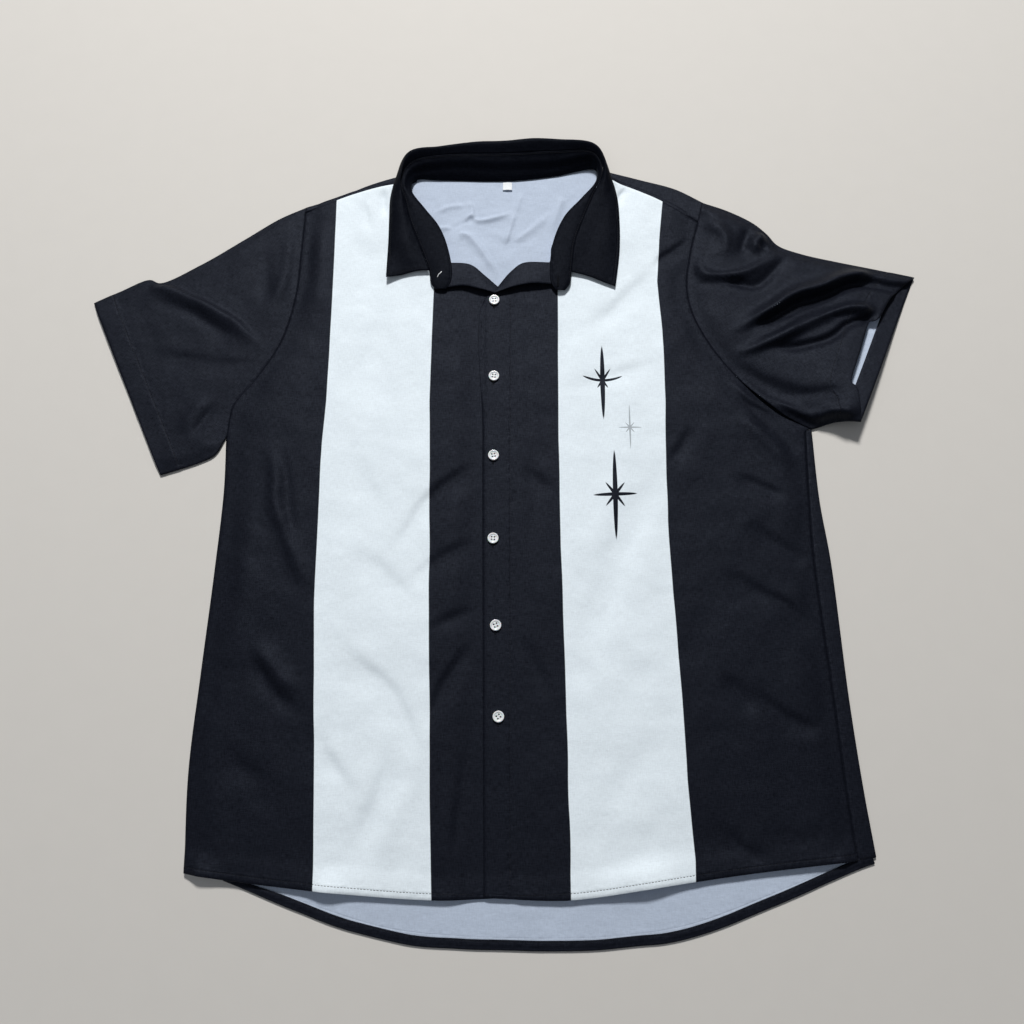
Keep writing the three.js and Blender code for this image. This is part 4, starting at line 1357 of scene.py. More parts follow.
@dataclass
class Fronts:
    """The two fronts: the right one carries the buttons, the left one laps over it."""

    columns: int = 122
    side_rows: int = 150
    chest_rows: int = 60
    neck_rows: int = 66
    hem_stitch: float = 5.5
    hem_fold: float = 8
    placket_stitch: float = 5
    placket_top: float = 231
    turned: float = 0.45  # how much thicker turned cloth is
    edge_roll: float = 1.15
    roll_reach: float = 2.4
    seam_roll: float = 0.35
    side_roll: float = 1.0  # over the right side's fold
    hem_lap: tuple[float, float] = (-24, -19)  # where the two hems' stitches meet
    stitch_lift: tuple[float, float] = (0.9, 0.5)  # the hem's and the placket's

    def grid(self, side: Side) -> Grid:
        """One front's plan grid, from hem to shoulder and from left to right.

        Args:
            side: The wearer's side.

        Returns:
            The grid.
        """
        right = side is Side.RIGHT
        hem_points = (*FRONT_HEM[:4], UNDER_EDGE[0]) if right else (PLACKET_EDGE[0], *FRONT_HEM[4:])
        hem = smooth_line(hem_points, self.columns)
        shoulder_points = RIGHT_SHOULDER_SEAM if right else LEFT_SHOULDER_SEAM[::-1]
        shoulder = smooth_line(shoulder_points, self.columns)
        low = UNDER_EDGE if right else PLACKET_EDGE
        middle = (UNDER_EDGE[1], V_POINT) if right else (PLACKET_EDGE[-1], PLACKET_TOP, V_POINT)
        neckline = RIGHT_NECKLINE if right else LEFT_NECKLINE
        inner = joined(
            smooth_line(low, self.side_rows), smooth_line(middle, self.chest_rows),
            smooth_line(neckline, self.neck_rows),
        )
        seam, armhole = (RIGHT_SIDE, RIGHT_ARMHOLE) if right else (LEFT_SEAM, LEFT_ARMHOLE)
        outer = joined(
            smooth_line(seam, self.side_rows), smooth_line(armhole, self.chest_rows + self.neck_rows),
        )
        left_edge, right_edge = (outer, inner) if right else (inner, outer)
        return fill_borders(hem, shoulder, left_edge, right_edge)

    def hem_step(self, plan: Grid) -> np.ndarray:
        """How much thicker the cloth is where its hem is turned."""
        from_hem = distance_to(FRONT_HEM, plan)
        return self.turned * (1 - ramp(from_hem, self.hem_fold - 1.5, self.hem_fold + 1.5))

    def placket_step(self, plan: Grid) -> np.ndarray:
        """How much thicker the left front is where its placket is turned."""
        inside = 1 - ramp(plan[..., 0], self.placket_stitch - 1, self.placket_stitch + 2.5)
        return self.turned * inside * (1 - ramp(plan[..., 1], self.placket_top - 3, self.placket_top + 6))

    def seam_distance(self, plan: Grid, side: Side) -> np.ndarray:
        """Distance to the nearest line of stitches."""
        away = np.abs(distance_to(FRONT_HEM, plan) - self.hem_stitch)
        for edge in SEAMS[side]:
            away = np.minimum(away, distance_to(edge, plan))
        if side is Side.LEFT:
            beyond = np.maximum(plan[..., 1] - self.placket_top, 0)
            away = np.minimum(away, np.hypot(plan[..., 0] - self.placket_stitch, beyond))
        return away

    def stripe_distance(self, plan: Grid, side: Side) -> np.ndarray:
        """How far inside the pale stripe a place is, below 0 outside it."""
        stripe = RIGHT_STRIPE if side is Side.RIGHT else LEFT_STRIPE
        first, last = (np.array(edge, float) for edge in stripe)
        waver = 0.5 * Rumple(40, 11).at(plan)
        near = np.interp(plan[..., 1], first[:, 1], first[:, 0])
        far = np.interp(plan[..., 1], last[:, 1], last[:, 0])
        return np.minimum(plan[..., 0] - near, far - plan[..., 0]) + waver

    def seam_dip(self, plan: Grid, side: Side) -> np.ndarray:
        """How the cloth rolls down into its seams."""
        folded, *lines = SEAMS[side]
        dip = sum(self.seam_roll * falloff(distance_to(line, plan), SEAM_REACH) for line in lines)
        if side is Side.RIGHT:
            return dip + self.side_roll * falloff(distance_to(folded, plan), 2.0)
        return dip + self.seam_roll * falloff(distance_to(folded, plan), SEAM_REACH)

    def build(self, side: Side, wardrobe: Wardrobe) -> Piece:
        """Makes one front and dresses it.

        Args:
            side: The wearer's side.
            wardrobe: The shirt's finishes.

        Returns:
            The piece.
        """
        plan = self.grid(side)
        height = RELIEF.front(plan) + self.hem_step(plan) - self.seam_dip(plan, side)
        if side is Side.LEFT:
            from_edge = distance_to((*PLACKET_EDGE, PLACKET_TOP), plan)
            height = height + RELIEF.lap(plan) + self.placket_step(plan)
            height = height - self.edge_roll * falloff(from_edge, self.roll_reach)
        face = lifted(plan, height)
        shell = Shell(face, attributes={
            "stripe": self.stripe_distance(plan, side), "seam": self.seam_distance(plan, side),
        })
        finishes = (wardrobe.printed, wardrobe.reverse)
        piece = sewn(shell, f"{side.word}_front_cloth", finishes, Slot.SHIRT, f"{side.word}_front")
        return piece

    def stitch(self, wardrobe: Wardrobe) -> list[Piece]:
        """The hem's and the placket's lines of stitches."""
        line = offset_line(smooth_line(FRONT_HEM, 400), self.hem_stitch)
        right_end, left_start = self.hem_lap
        right, left = line[line[:, 0] < right_end], line[line[:, 0] > left_start]
        placket = smooth_line(((self.placket_stitch, -366), (self.placket_stitch, self.placket_top)), 500)
        on_hem, on_placket = self.stitch_lift
        parts = ((right, False, on_hem), (left, True, on_hem), (placket, True, on_placket))
        runs = []
        for part, is_left, share in parts:
            points, up = on_front(part, is_left)
            points[:, 2] += self.turned * share
            runs.append((points, up))
        return [Stitching().sew("front_stitches", runs, wardrobe.dark_thread)]


def gathered(points: np.ndarray, pieces: int, axis: int, low: float, high: float) -> np.ndarray:
    """Points along a line, four times as close where one coordinate lies between two values.

    Args:
        points: The line's points.
        pieces: How many steps there are.
        axis: 0 for x and 1 for y.
        low: Where the close stretch starts.
        high: Where it ends.

    Returns:
        The points.
    """
    even = np.linspace(0, 1, 1201)
    fine = resampled(points, even)
    middle = (fine[1:, axis] + fine[:-1, axis]) / 2
    weight = 1 + 3 * ramp(middle, low - 12, low) * (1 - ramp(middle, high, high + 12))
    shares = np.concatenate([[0], np.cumsum(weight)]) / weight.sum()
    return resampled(fine, np.interp(np.linspace(0, 1, pieces + 1), shares, even))


@dataclass
class BackPanel:
    """The back: one flat panel and the strips of it that come over the edges onto the top."""

    leg: float = 12  # how far a strip reaches under the panel
    columns: int = 170
    rows: int = 230
    turn: float = 1.35  # radius of the fold that a strip goes round
    hem_inset: float = 1.5
    hem_seam: float = 10.5
    neck_depth: float = 1.35
    neck_uneven: float = 0.35
    neck_lift: float = 0.4

    def inset(self, edge: Path, seam: Path, pieces: int) -> np.ndarray:
        """A line inside an edge, where the strip that wraps over it ends underneath."""
        rim = smooth_line(edge, pieces)
        return rim + unit(smooth_line(seam, pieces) - rim) * (self.leg + 0.1)

    def panel(self) -> Grid:
        """The flat panel's plan grid."""
        edge = self.inset(LEFT_EDGE, LEFT_SEAM, 130)
        arm = smooth_line(((306, 92), *LEFT_ARMHOLE[1:]), 110)
        left = joined(smooth_line(RIGHT_SIDE, 130), smooth_line(RIGHT_ARMHOLE, 110))
        left, right = (gathered(line, self.rows, 1, 245, 400) for line in (left, joined(edge, arm)))
        right_shoulder = self.inset(RIGHT_SHOULDER_EDGE, RIGHT_SHOULDER_SEAM, 40)
        left_shoulder = self.inset(LEFT_SHOULDER_EDGE, LEFT_SHOULDER_SEAM, 40)[::-1]
        neck, low = stepped_line(BACK_NECK, FINE), stepped_line(BACK_HEM, FINE)[1:-FINE]
        top = np.vstack([left[-1:], right_shoulder, neck, left_shoulder, right[-1:]])
        hem = np.vstack([left[:1], low + [0, self.hem_inset], right[:1]])
        hem, top = (gathered(line, self.columns, 0, -85, 75) for line in (hem, top))
        return fill_borders(hem, top, left, right)

    def height(self, plan: Grid) -> np.ndarray:
        """Upper face of the panel: creased a little where the open neck shows it."""
        creased = self.neck_depth * sum(crease.lift(plan) for crease in NECK_CREASES)
        creased = creased + self.neck_uneven * Rumple(14, 21).at(plan)
        inside = ramp(plan[..., 1], 236, 262) * (1 - ramp(np.abs(plan[..., 0] + 6), 70, 100))
        return LOWER_TOP + self.neck_lift * inside + np.maximum(creased, -0.5) * inside

    def strip(self, edge: Path, seam: Path, pieces: int) -> Grid:
        """A strip wrapped over an edge: from its seam on top, round the fold, to its leg below.

        Args:
            edge: The shirt's edge, where the cloth is folded.
            seam: Where the strip ends on top.
            pieces: How many steps it has along the edge.

        Returns:
            The strip's points.
        """
        rim = smooth_line(edge, pieces)
        across = smooth_line(seam, pieces) - rim
        width = np.linalg.norm(across, axis=1) - 0.3
        columns = []
        for share in np.linspace(1, 0, 7)[:-1]:
            swell = 0.2 * np.sin(math.pi * share) - 0.3 * (share == 1.0)
            columns.append((self.turn + (width - self.turn) * share, UPPER_TOP + swell))
        for angle in np.linspace(math.pi / 2, 3 * math.pi / 2, 9):
            columns.append((self.turn * (1 + math.cos(angle)), self.turn * (1 + math.sin(angle))))
        columns.append((self.leg, 0.0))
        grid = []
        for distance, z in columns:
            inward = unit(across) * np.broadcast_to(distance, width.shape)[:, None]
            grid.append(lifted(rim + inward, np.full_like(width, z)))
        return np.stack(grid, axis=1)

    def build(self, wardrobe: Wardrobe) -> list[Piece]:
        """Makes the panel and its three wrapped strips.

        Args:
            wardrobe: The shirt's finishes.

        Returns:
            The panel, then the strips.
        """
        plan = self.panel()
        face = lifted(plan, self.height(plan))
        to_hem = np.abs(distance_to(BACK_HEM, plan, 60) - self.hem_seam)
        shell = Shell(face, attributes={"seam": np.minimum(to_hem, distance_to(BACK_NECK, plan))})
        panel = sewn(shell, "back_cloth", (wardrobe.reverse, wardrobe.black), Slot.SHIRT, "back")
        pieces = [panel]
        strips = (
            ("left_side_wrap", LEFT_EDGE, LEFT_SEAM, 150),
            (
                "left_shoulder_wrap", (*LEFT_SHOULDER_EDGE, (106, 393)), (*LEFT_SHOULDER_SEAM, (107, 380)),
                66,
            ),
            (
                "right_shoulder_wrap", ((-92, 392), *RIGHT_SHOULDER_EDGE[::-1]),
                ((-100, 377), *RIGHT_SHOULDER_SEAM[::-1]), 70,
            ),
        )
        for name, edge, line, count in strips:
            grid = self.strip(edge, line, count)
            away = np.minimum(np.linalg.norm(grid[..., :2] - grid[:, :1, :2], axis=-1), HIDDEN_SEAM)
            shell = Shell(grid, attributes={"seam": away})
            pieces.append(sewn(shell, name, (wardrobe.black, wardrobe.reverse), Slot.SHIRT))
        return pieces


@dataclass
class SleeveForm:
    """One sleeve's outline and how it lies.

    Args:
        side: The arm that it is for.
        top: Its folded edge on the collar's side, from the shoulder out.
        bottom: Its folded edge on the hem's side, from the armpit out.
        cuff: The lower layer's cuff.
        upper_cuff: The upper layer's cuff.
        armhole: The seam that it is set in at.
        shoulder: Where that seam meets the shoulder's folded edge.
        puff: How high the upper layer stands.
        cuff_lift: How far the lower layer is off the surface at the cuff.
        band_room: How far the upper layer stands off the turned hem inside the cuff.
        roll: How far the upper layer rolls up beside the armpit.
        grain: Turn of the weave in plan, in degrees.
        fold_width: How far in from a fold the layers are rounded together.
    """

    side: Side
    top: Path
    bottom: Path
    cuff: Path
    upper_cuff: Path
    armhole: Path
    shoulder: tuple[float, float]
    puff: float
    cuff_lift: float = 0
    band_room: float = 0
    roll: float = 0
    grain: float = 0
    rows: int = 96
    columns: int = 110
    fold_width: float = 2.6

    def shares(self) -> np.ndarray:
        """Shares across the sleeve, close together near both folded edges."""
        near = np.array([0, 0.0012, 0.003, 0.006, 0.010, 0.016])
        middle = np.linspace(0.024, 0.976, self.columns)
        return np.concatenate([near, middle, 1 - near[::-1]])

    def plans(self) -> tuple[Grid, Grid]:
        """Plan grids of the upper and lower layers, rows from armhole to cuff.

        Returns:
            The upper grid and the lower one.
        """
        arm = np.vstack([stepped_line(self.armhole, FINE), np.array([self.shoulder], float)])
        arm = resampled(arm, self.shares())
        arm[:, 0] += self.side.value * 0.6
        top, bottom = smooth_line(self.top, self.rows), smooth_line(self.bottom, self.rows)
        layers = []
        for cuff in (self.upper_cuff, self.cuff):
            end = resampled(stepped_line(cuff, FINE), self.shares())
            layers.append(self.between(arm, end, bottom, top))
        return layers[0], layers[1]

    def between(self, start: np.ndarray, end: np.ndarray, bottom: np.ndarray, top: np.ndarray) -> Grid:
        """A grid from the armhole to the cuff, at the uneven shares across.

        Args:
            start: The armhole's line.
            end: The cuff's.
            bottom: The lower folded edge.
            top: The upper one.

        Returns:
            The grid, rows from armhole to cuff.
        """
        s = self.shares()[None, :, None]
        t = np.linspace(0, 1, self.rows + 1)[:, None, None]
        ends = (1 - t) * start[None] + t * end[None]
        sides = (1 - s) * bottom[:, None] + s * top[:, None]
        near, far = (1 - s) * start[0] + s * start[-1], (1 - s) * end[0] + s * end[-1]
        return ends + sides - ((1 - t) * near + t * far)

    def lift(self) -> np.ndarray:
        """How far the lower layer is off the surface, most at the cuff's lower corner."""
        along = np.linspace(0, 1, self.rows + 1)[:, None]
        across = 1 - self.shares()[None, :]
        return self.cuff_lift * ramp(along, 0.05, 1) * ramp(across, 0.05, 1)

    def heights(self, upper: Grid) -> tuple[np.ndarray, np.ndarray]:
        """Heights of the upper and lower faces, rounded together at both folds.

        Args:
            upper: The upper layer's plan grid.

        Returns:
            Both layers' heights.
        """
        along = np.linspace(0, 1, self.rows + 1)[:, None]
        edge = np.minimum(
            np.linalg.norm(upper - upper[:, :1], axis=-1), np.linalg.norm(upper - upper[:, -1:], axis=-1),
        )
        seam = distance_to(self.armhole, upper)
        puff = self.puff * (1 - falloff(np.minimum(seam, edge * 1.4), 14))
        room = self.band_room * ramp(along, 0.6, 0.85)
        low = self.lift()
        high = low + UPPER_TOP + RELIEF.over(puff, upper) + room
        high -= 0.35 * falloff(seam, SEAM_REACH)
        high += self.roll * falloff(seam, 9) * falloff(upper[..., 1] - 112, 20)
        middle = (low + high) / 2
        rounding = np.sqrt(1 - (1 - np.clip(edge / self.fold_width, 0, 1)) ** 2)
        return middle + (high - middle) * rounding, middle + (low - middle) * rounding


RIGHT_SLEEVE = SleeveForm(
    side=Side.RIGHT,
    top=(
        (-221, 345), (-249, 331), (-285, 306), (-332, 274), (-374, 252), (-386, 256), (-416, 242),
        (-443, 228),
    ),
    bottom=((-289, 74), (-299, 55), (-313, 47), (-353, 33)),
    cuff=((-353, 33), (-398, 130), (-443, 228)),
    upper_cuff=((-353, 33), (-398, 130), (-443, 228)),
    armhole=RIGHT_ARMHOLE, shoulder=(-221, 345), puff=2.4, grain=-25,
)
LEFT_SLEEVE = SleeveForm(
    side=Side.LEFT,
    top=(
        (219, 351), (245, 341), (272, 326), (287, 312), (298, 298), (321, 288), (363, 277), (443, 258),
    ),
    bottom=((318, 83), (340, 88), (364, 85)),
    cuff=((364, 85), (404, 172), (443, 258)),
    upper_cuff=(
        (364, 85), (363, 104), (361.5, 122), (357, 126.5), (357.5, 131), (371, 165), (383.5, 197),
        (386.5, 201.5), (394, 203), (413, 231), (443, 258),
    ),
    armhole=LEFT_ARMHOLE, shoulder=(219, 351), puff=5.5, cuff_lift=16, band_room=1.6, roll=4.5,
    grain=22,
)


@dataclass
class Sleeves:
    """The two sleeves, each a flattened tube, with the turned hem at its cuff."""

    hem: float = 21
    band: float = 18
    band_wall: float = 0.7
    turned: float = 0.5
    ends: tuple[int, int] = (4, 3)  # columns that the stitches and the band stop short of a fold

    def build(self, form: SleeveForm, wardrobe: Wardrobe) -> list[Piece]:
        """Makes one sleeve and the stitches of its hem.

        Args:
            form: The sleeve's form.
            wardrobe: The shirt's finishes.

        Returns:
            The sleeve and its stitches.
        """
        upper, lower = form.plans()
        high, low = form.heights(upper)
        from_cuff = np.abs(nearest_on(upper[-1], upper)[0])
        over_hem = (1 - ramp(from_cuff, self.hem - 1, self.hem + 2)) * ramp(from_cuff, -1, 1.5)
        high = high + self.turned * over_hem
        ring = np.concatenate([lifted(upper, high), lifted(lower, low)[:, -2:0:-1]], axis=1)
        armhole = distance_to(form.armhole, upper)
        seam = np.minimum(np.abs(from_cuff - self.hem), armhole)
        below = np.abs(np.abs(nearest_on(lower[-1], lower)[0]) - self.hem)[:, -2:0:-1]
        seam = np.concatenate([seam, below], axis=1)
        if form.side is Side.LEFT:
            ring, seam = ring[:, ::-1], seam[:, ::-1]
        shell = Shell(ring, ring=True, grain=form.grain, attributes={"seam": seam})
        finishes, word = (wardrobe.black, wardrobe.reverse), form.side.word
        piece = sewn(shell, f"{word}_sleeve_cloth", finishes, Slot.SHIRT, f"{word}_sleeve")
        line = self.along(lifted(upper, high), from_cuff, self.hem, self.ends[0])
        line[:, 2] += THREAD_LIFT
        runs = [(line, upward(len(line)))]
        return [piece, Stitching().sew(f"{word}_cuff_stitches", runs, wardrobe.dark_thread)]

    def along(self, face: Grid, from_cuff: np.ndarray, distance: float, ends: int) -> np.ndarray:
        """A line on a layer, a set distance in from its cuff.

        Args:
            face: The layer's points, rows from armhole to cuff.
            from_cuff: How far each is from the cuff.
            distance: How far the line is.
            ends: How many columns it stops short of each fold.

        Returns:
            The line's points.
        """
        points = []
        for i in range(ends, face.shape[1] - ends):
            away = from_cuff[::-1, i]
            points.append([np.interp(distance, away, face[::-1, i, k]) for k in range(3)])
        return np.array(points)

    def inner_band(self, wardrobe: Wardrobe) -> Piece:
        """The left cuff's turned hem, seen on the inside of its lower layer."""
        form = LEFT_SLEEVE
        _, lower = form.plans()
        face = lifted(lower, form.lift())
        away = np.abs(nearest_on(lower[-1], lower)[0])
        distances = np.linspace(0.4, self.band, 9)
        band = np.array([self.along(face, away, distance, self.ends[1]) for distance in distances])
        band[..., 2] += WALL + 0.35 + self.band_wall
        seam = np.tile(np.abs(distances - self.band + 1.5)[:, None], (1, band.shape[1]))
        shell = Shell(band, wall=self.band_wall, grain=form.grain, attributes={"seam": seam})
        finishes = (wardrobe.black, wardrobe.black)
        return sewn(shell, "left_cuff_band", finishes, Slot.HEM, "left_sleeve_hem_band")


@dataclass
class BackHem:
    """The back's narrow turned hem: it comes round the edge and shows inside below the fronts."""

    width: float = 8.9
    turn: float = 1.1
    stitch: float = 8
    corner: Path = ((299, -360), (325, -350), (342, -344.5))
    sway: float = 0.8
    slimmest: float = 0.55  # its width at the right end, as a share

    def build(self, wardrobe: Wardrobe) -> list[Piece]:
        """Makes the band and its stitches."""
        edge = smooth_line((*BACK_HEM[1:-2], *self.corner), 260)
        edge[:, 1] += self.sway * Rumple(38, 33).at(edge)
        slim = self.slimmest + (1 - self.slimmest) * ramp(edge[:, 0], -259, -200)
        columns = [(self.width * share, 0.0) for share in np.linspace(1, 0.2, 7)]
        arc = np.linspace(math.pi / 2, math.pi * 1.42, 7)
        columns += [(self.turn * (1 + math.cos(a)), self.turn * (math.sin(a) - 1)) for a in arc]
        rows = []
        for inward, down in columns:
            shift = inward * slim if down == 0.0 else inward * np.ones(len(edge))
            plan = offset_line(edge, shift[:, None])
            wave = (0.3 + 0.3 * Rumple(15, 31).at(plan)) * (inward > 3)
            rows.append(lifted(plan, LOWER_TOP + 1.15 + down + wave))
        face = np.stack(rows[::-1])
        away = np.linalg.norm(face[..., :2] - face[-1:, :, :2], axis=-1)
        seam = np.abs(away - (self.width - self.stitch))
        shell = Shell(face, wall=self.turn * 0.6, attributes={"seam": seam})
        finishes = (wardrobe.black, wardrobe.black)
        piece = sewn(shell, "back_hem_cloth", finishes, Slot.HEM, "back_hem_band")
        runs = [(rows[1] + [0, 0, THREAD_LIFT], upward(len(edge)))]
        return [piece, Stitching().sew("back_hem_stitches", runs, wardrobe.dark_thread)]


@dataclass(frozen=True)
class CollarSection:
    """One section through the collar, from the neck seam to the fall's free edge."""

    neck: tuple[float, float, float]
    seam: tuple[float, float, float]
    crown: Optional[tuple[float, float, float]] = None
    bulge: Optional[tuple[float, float, float]] = None
    edge: Optional[tuple[float, float, float]] = None


COLLAR_SECTIONS = (
    CollarSection((-64, 241, 8.6), (-75, 241, 8.4)),
    CollarSection((-59.5, 248, 9.6), (-80, 248, 9)),
    CollarSection((-58, 263, 10.6), (-82, 263, 9.6), (-97, 262, 10), (-113, 258, 8.6), (-128, 254, 12)),
    CollarSection((-65, 297, 11), (-95, 298, 10), (-107, 298, 13), (-119, 296, 11), (-128, 294, 7)),
    CollarSection((-74, 318, 11), (-104, 322, 11), (-112, 324, 14), (-122, 325, 12), (-128, 326, 7)),
    CollarSection((-89, 338.5, 11), (-110, 348, 12), (-115, 351, 16), (-124, 354, 13), (-127.5, 355, 7)),
    CollarSection((-103.6, 361.5, 9), (-116, 371, 15), (-115, 374, 20), (-120, 379, 14), (-122, 379, 6)),
    CollarSection((-101, 377.5, 4.5), (-104, 392, 18), (-106, 399, 24), (-110.5, 402, 14), (-113, 396, 1.3)),
    CollarSection((-70, 379, 2.4), (-70, 399, 20), (-71, 407, 25), (-73, 411, 14), (-74, 396, 1.1)),
    CollarSection((0, 378, 2.3), (0, 401, 20), (0, 413, 26), (0, 418.5, 14), (0, 400, 1.1)),
    CollarSection((55, 384, 2.4), (55, 404, 20), (56, 415, 26), (57, 418.3, 14), (56, 403, 1.1)),
    CollarSection((99, 391.5, 4), (97, 403, 19), (99, 409, 24.5), (102, 411.5, 14), (103, 402, 1.3)),
    CollarSection((100, 374, 9), (107, 384, 16), (110, 387, 20), (113, 389, 15), (115, 385, 7)),
    CollarSection((83, 350.5, 11), (96, 354, 12), (108, 358, 14), (117, 358, 11), (123, 357, 7)),
    CollarSection((65, 329, 11), (85, 326, 11), (100, 328, 11), (114, 327, 10.5), (125, 325, 7)),
    CollarSection((52, 297, 11), (75, 296, 11), (92, 297, 10), (109, 294, 10), (124, 290, 7)),
    CollarSection((48, 262, 10.8), (71, 262, 10), (86, 258, 9.2), (103, 251, 8.2), (118, 245, 7.6)),
    CollarSection((49.5, 247, 10.2), (69, 247, 9.4)),
    CollarSection((54, 239.5, 9.4), (64, 239.5, 9)),
)


@dataclass
class Collar:
    """A collar in two parts: a stand with rounded tabs, and a fall that turns over it."""

    steps: int = 16
    stand_columns: int = 16
    fall_columns: int = 34
    crown: float = 1.2  # how far the stand bulges between its seams
    lift: float = 0.6  # how far both parts are raised off their solids' middles
    edge_stitch: float = 3

    def line(self, name: str, sections: Sequence[CollarSection]) -> np.ndarray:
        """One of the collar's long lines, from the left tab round to the right one."""
        return stepped_line([getattr(section, name) for section in sections], self.steps)[::-1]

    def stand(self) -> Grid:
        """The stand's face, which shows inside the open neck."""
        neck, seam = self.line("neck", COLLAR_SECTIONS), self.line("seam", COLLAR_SECTIONS)
        s = np.linspace(0, 1, self.stand_columns + 1)[None, :, None]
        grid = neck[:, None] * (1 - s) + seam[:, None] * s
        grid[..., 2] += (self.crown * 4 * s * (1 - s))[..., 0] + self.lift
        behind = ramp(grid[..., 1], 340, 385)
        across = s[..., 0]
        wave = np.sin(across * 11 + 1.2 * Rumple(55, 41).at(grid)) * 0.8 + 0.5 * Rumple(18, 42).at(grid)
        grid[..., 2] += wave * behind * np.sin(math.pi * across)
        return grid

    def fall(self) -> Grid:
        """The fall's face, from its seam over its crown to its free edge."""
        sections = [section for section in COLLAR_SECTIONS if section.crown]
        lines = [self.line(name, sections) for name in ("seam", "crown", "bulge", "edge")]
        shares = np.linspace(0, 1, self.fall_columns + 1)
        rows = []
        for seam, crown, bulge, edge in zip(*lines):
            section = stepped_line([seam + unit(crown - seam) * 0.4, crown, bulge, edge], self.steps)
            rows.append(resampled(section, shares))
        grid = np.array(rows)
        behind = ramp(grid[..., 1], 370, 395)
        bend = 1.3 * Rumple(33, 44).at(grid) * behind * np.sin(math.pi * shares)[None] ** 2
        grid[..., 1] += bend
        uneven = 0.45 * Rumple(26, 43).at(grid) + 0.2 * Rumple(11, 45).at(grid)
        grid[..., 2] += self.lift + uneven + bend * 0.5
        return grid

    def build(self, wardrobe: Wardrobe) -> list[Piece]:
        """Makes the stand, the fall and their stitches."""
        stand_grid, fall_grid = self.stand(), self.fall()
        # Both collar parts take the black cloth that is darkened with painted shade.
        finishes = (wardrobe.shaded_collar_black, wardrobe.shaded_collar_black)
        away = np.linalg.norm(stand_grid - stand_grid[:, -1:], axis=-1)
        to_neck = np.linalg.norm(stand_grid - stand_grid[:, :1], axis=-1)
        seam = np.minimum(np.abs(away - 1.5), np.abs(to_neck - 1.5))
        shell = Shell(stand_grid, wall=BOARD_WALL, attributes={"seam": seam})
        stand = sewn(shell, "collar_stand_cloth", finishes, Slot.SHIRT, "collar_stand")
        free = np.linalg.norm(fall_grid - fall_grid[:, -1:], axis=-1)
        first = np.linalg.norm(fall_grid - fall_grid[:1], axis=-1)
        last = np.linalg.norm(fall_grid - fall_grid[-1:], axis=-1)
        joint = np.linalg.norm(fall_grid - fall_grid[:, :1], axis=-1)
        edge = np.minimum(free, np.minimum(first, last))
        seam = np.minimum(np.abs(edge - self.edge_stitch), joint)
        shell = Shell(fall_grid, wall=BOARD_WALL, attributes={"seam": seam})
        fall = sewn(shell, "collar_fall_cloth", finishes, Slot.SHIRT, "collar_fall")
        return [stand, fall, self.stitch(stand_grid, fall_grid, free, wardrobe)]

    def stitch(self, stand: Grid, fall: Grid, free: np.ndarray, wardrobe: Wardrobe) -> Piece:
        """Stitches along the fall's free edge and the stand's seam.

        Args:
            stand: The stand's face.
            fall: The fall's face.
            free: How far the fall's points are from its free edge.
            wardrobe: The shirt's finishes.

        Returns:
            The stitches.
        """
        out = Shell(fall).normals()
        rows = np.arange(len(fall))
        nearest = np.argmin(np.abs(free - self.edge_stitch), axis=1)
        lines = [(fall[rows, nearest], out[rows, nearest])]
        for row, inner in ((0, 1), (-1, -2)):
            line = fall[row] + unit(fall[inner] - fall[row]) * self.edge_stitch
            lines.append((line[3:], out[row][3:]))
        part = (slice(24, -24), self.stand_columns - 1)
        lines.append((stand[part], Shell(stand).normals()[part]))
        raised = [(line + up * THREAD_LIFT, up) for line, up in lines]
        return Stitching(length=2.2).sew("collar_stitches", raised, wardrobe.dark_thread)


@dataclass
class Facing:
    """A front's edge rolled out below the neck: a fold above and a free edge that stands off."""

    name: str
    node: str
    fold: Path
    edge: Path
    radius: float = 1.3

    def build(self, wardrobe: Wardrobe) -> Piece:
        """Makes the rolled strip."""
        fold, edge = smooth_line(self.fold, 60), smooth_line(self.edge, 60)
        rows = []
        for share in np.linspace(0, 1, 14):
            rows.append(edge + (fold - edge) * share + [0, 0, 0.5 * math.sin(math.pi * share)])
        for angle in np.linspace(0, math.pi * 0.9, 8)[1:]:
            turn = [0, self.radius * math.sin(angle), self.radius * (math.cos(angle) - 1)]
            rows.append(fold + turn)
        face = np.stack(rows)
        face[..., 2] += 0.6
        face[..., 2] += 0.4 * Rumple(17, 51).at(face)
        shell = Shell(face, wall=0.9, attributes=no_seam(face))
        piece = sewn(shell, self.name, (wardrobe.black, wardrobe.black), Slot.SHIRT, self.node)
        return piece


FACINGS = (
    Facing(
        "right_facing_cloth", "right_front_facing",
        fold=((-63, 272, 8.6), (-38, 269.5, 8.6), (-23, 258, 7.4), (-5, 241.5, 5.4)),
        edge=((-65, 243, 8.2), (-44, 245, 9.4), (-28, 241.5, 9.6), (-10, 237, 7)),
    ),
    Facing(
        "left_facing_cloth", "left_front_facing",
        fold=((-10, 242, 6.4), (7, 262.5, 8.7), (19, 271, 9.8), (54, 272, 8.8)),
        edge=((-12, 237, 7.6), (8, 243, 11), (27, 246.5, 12), (55, 247, 8.6)),
    ),
)


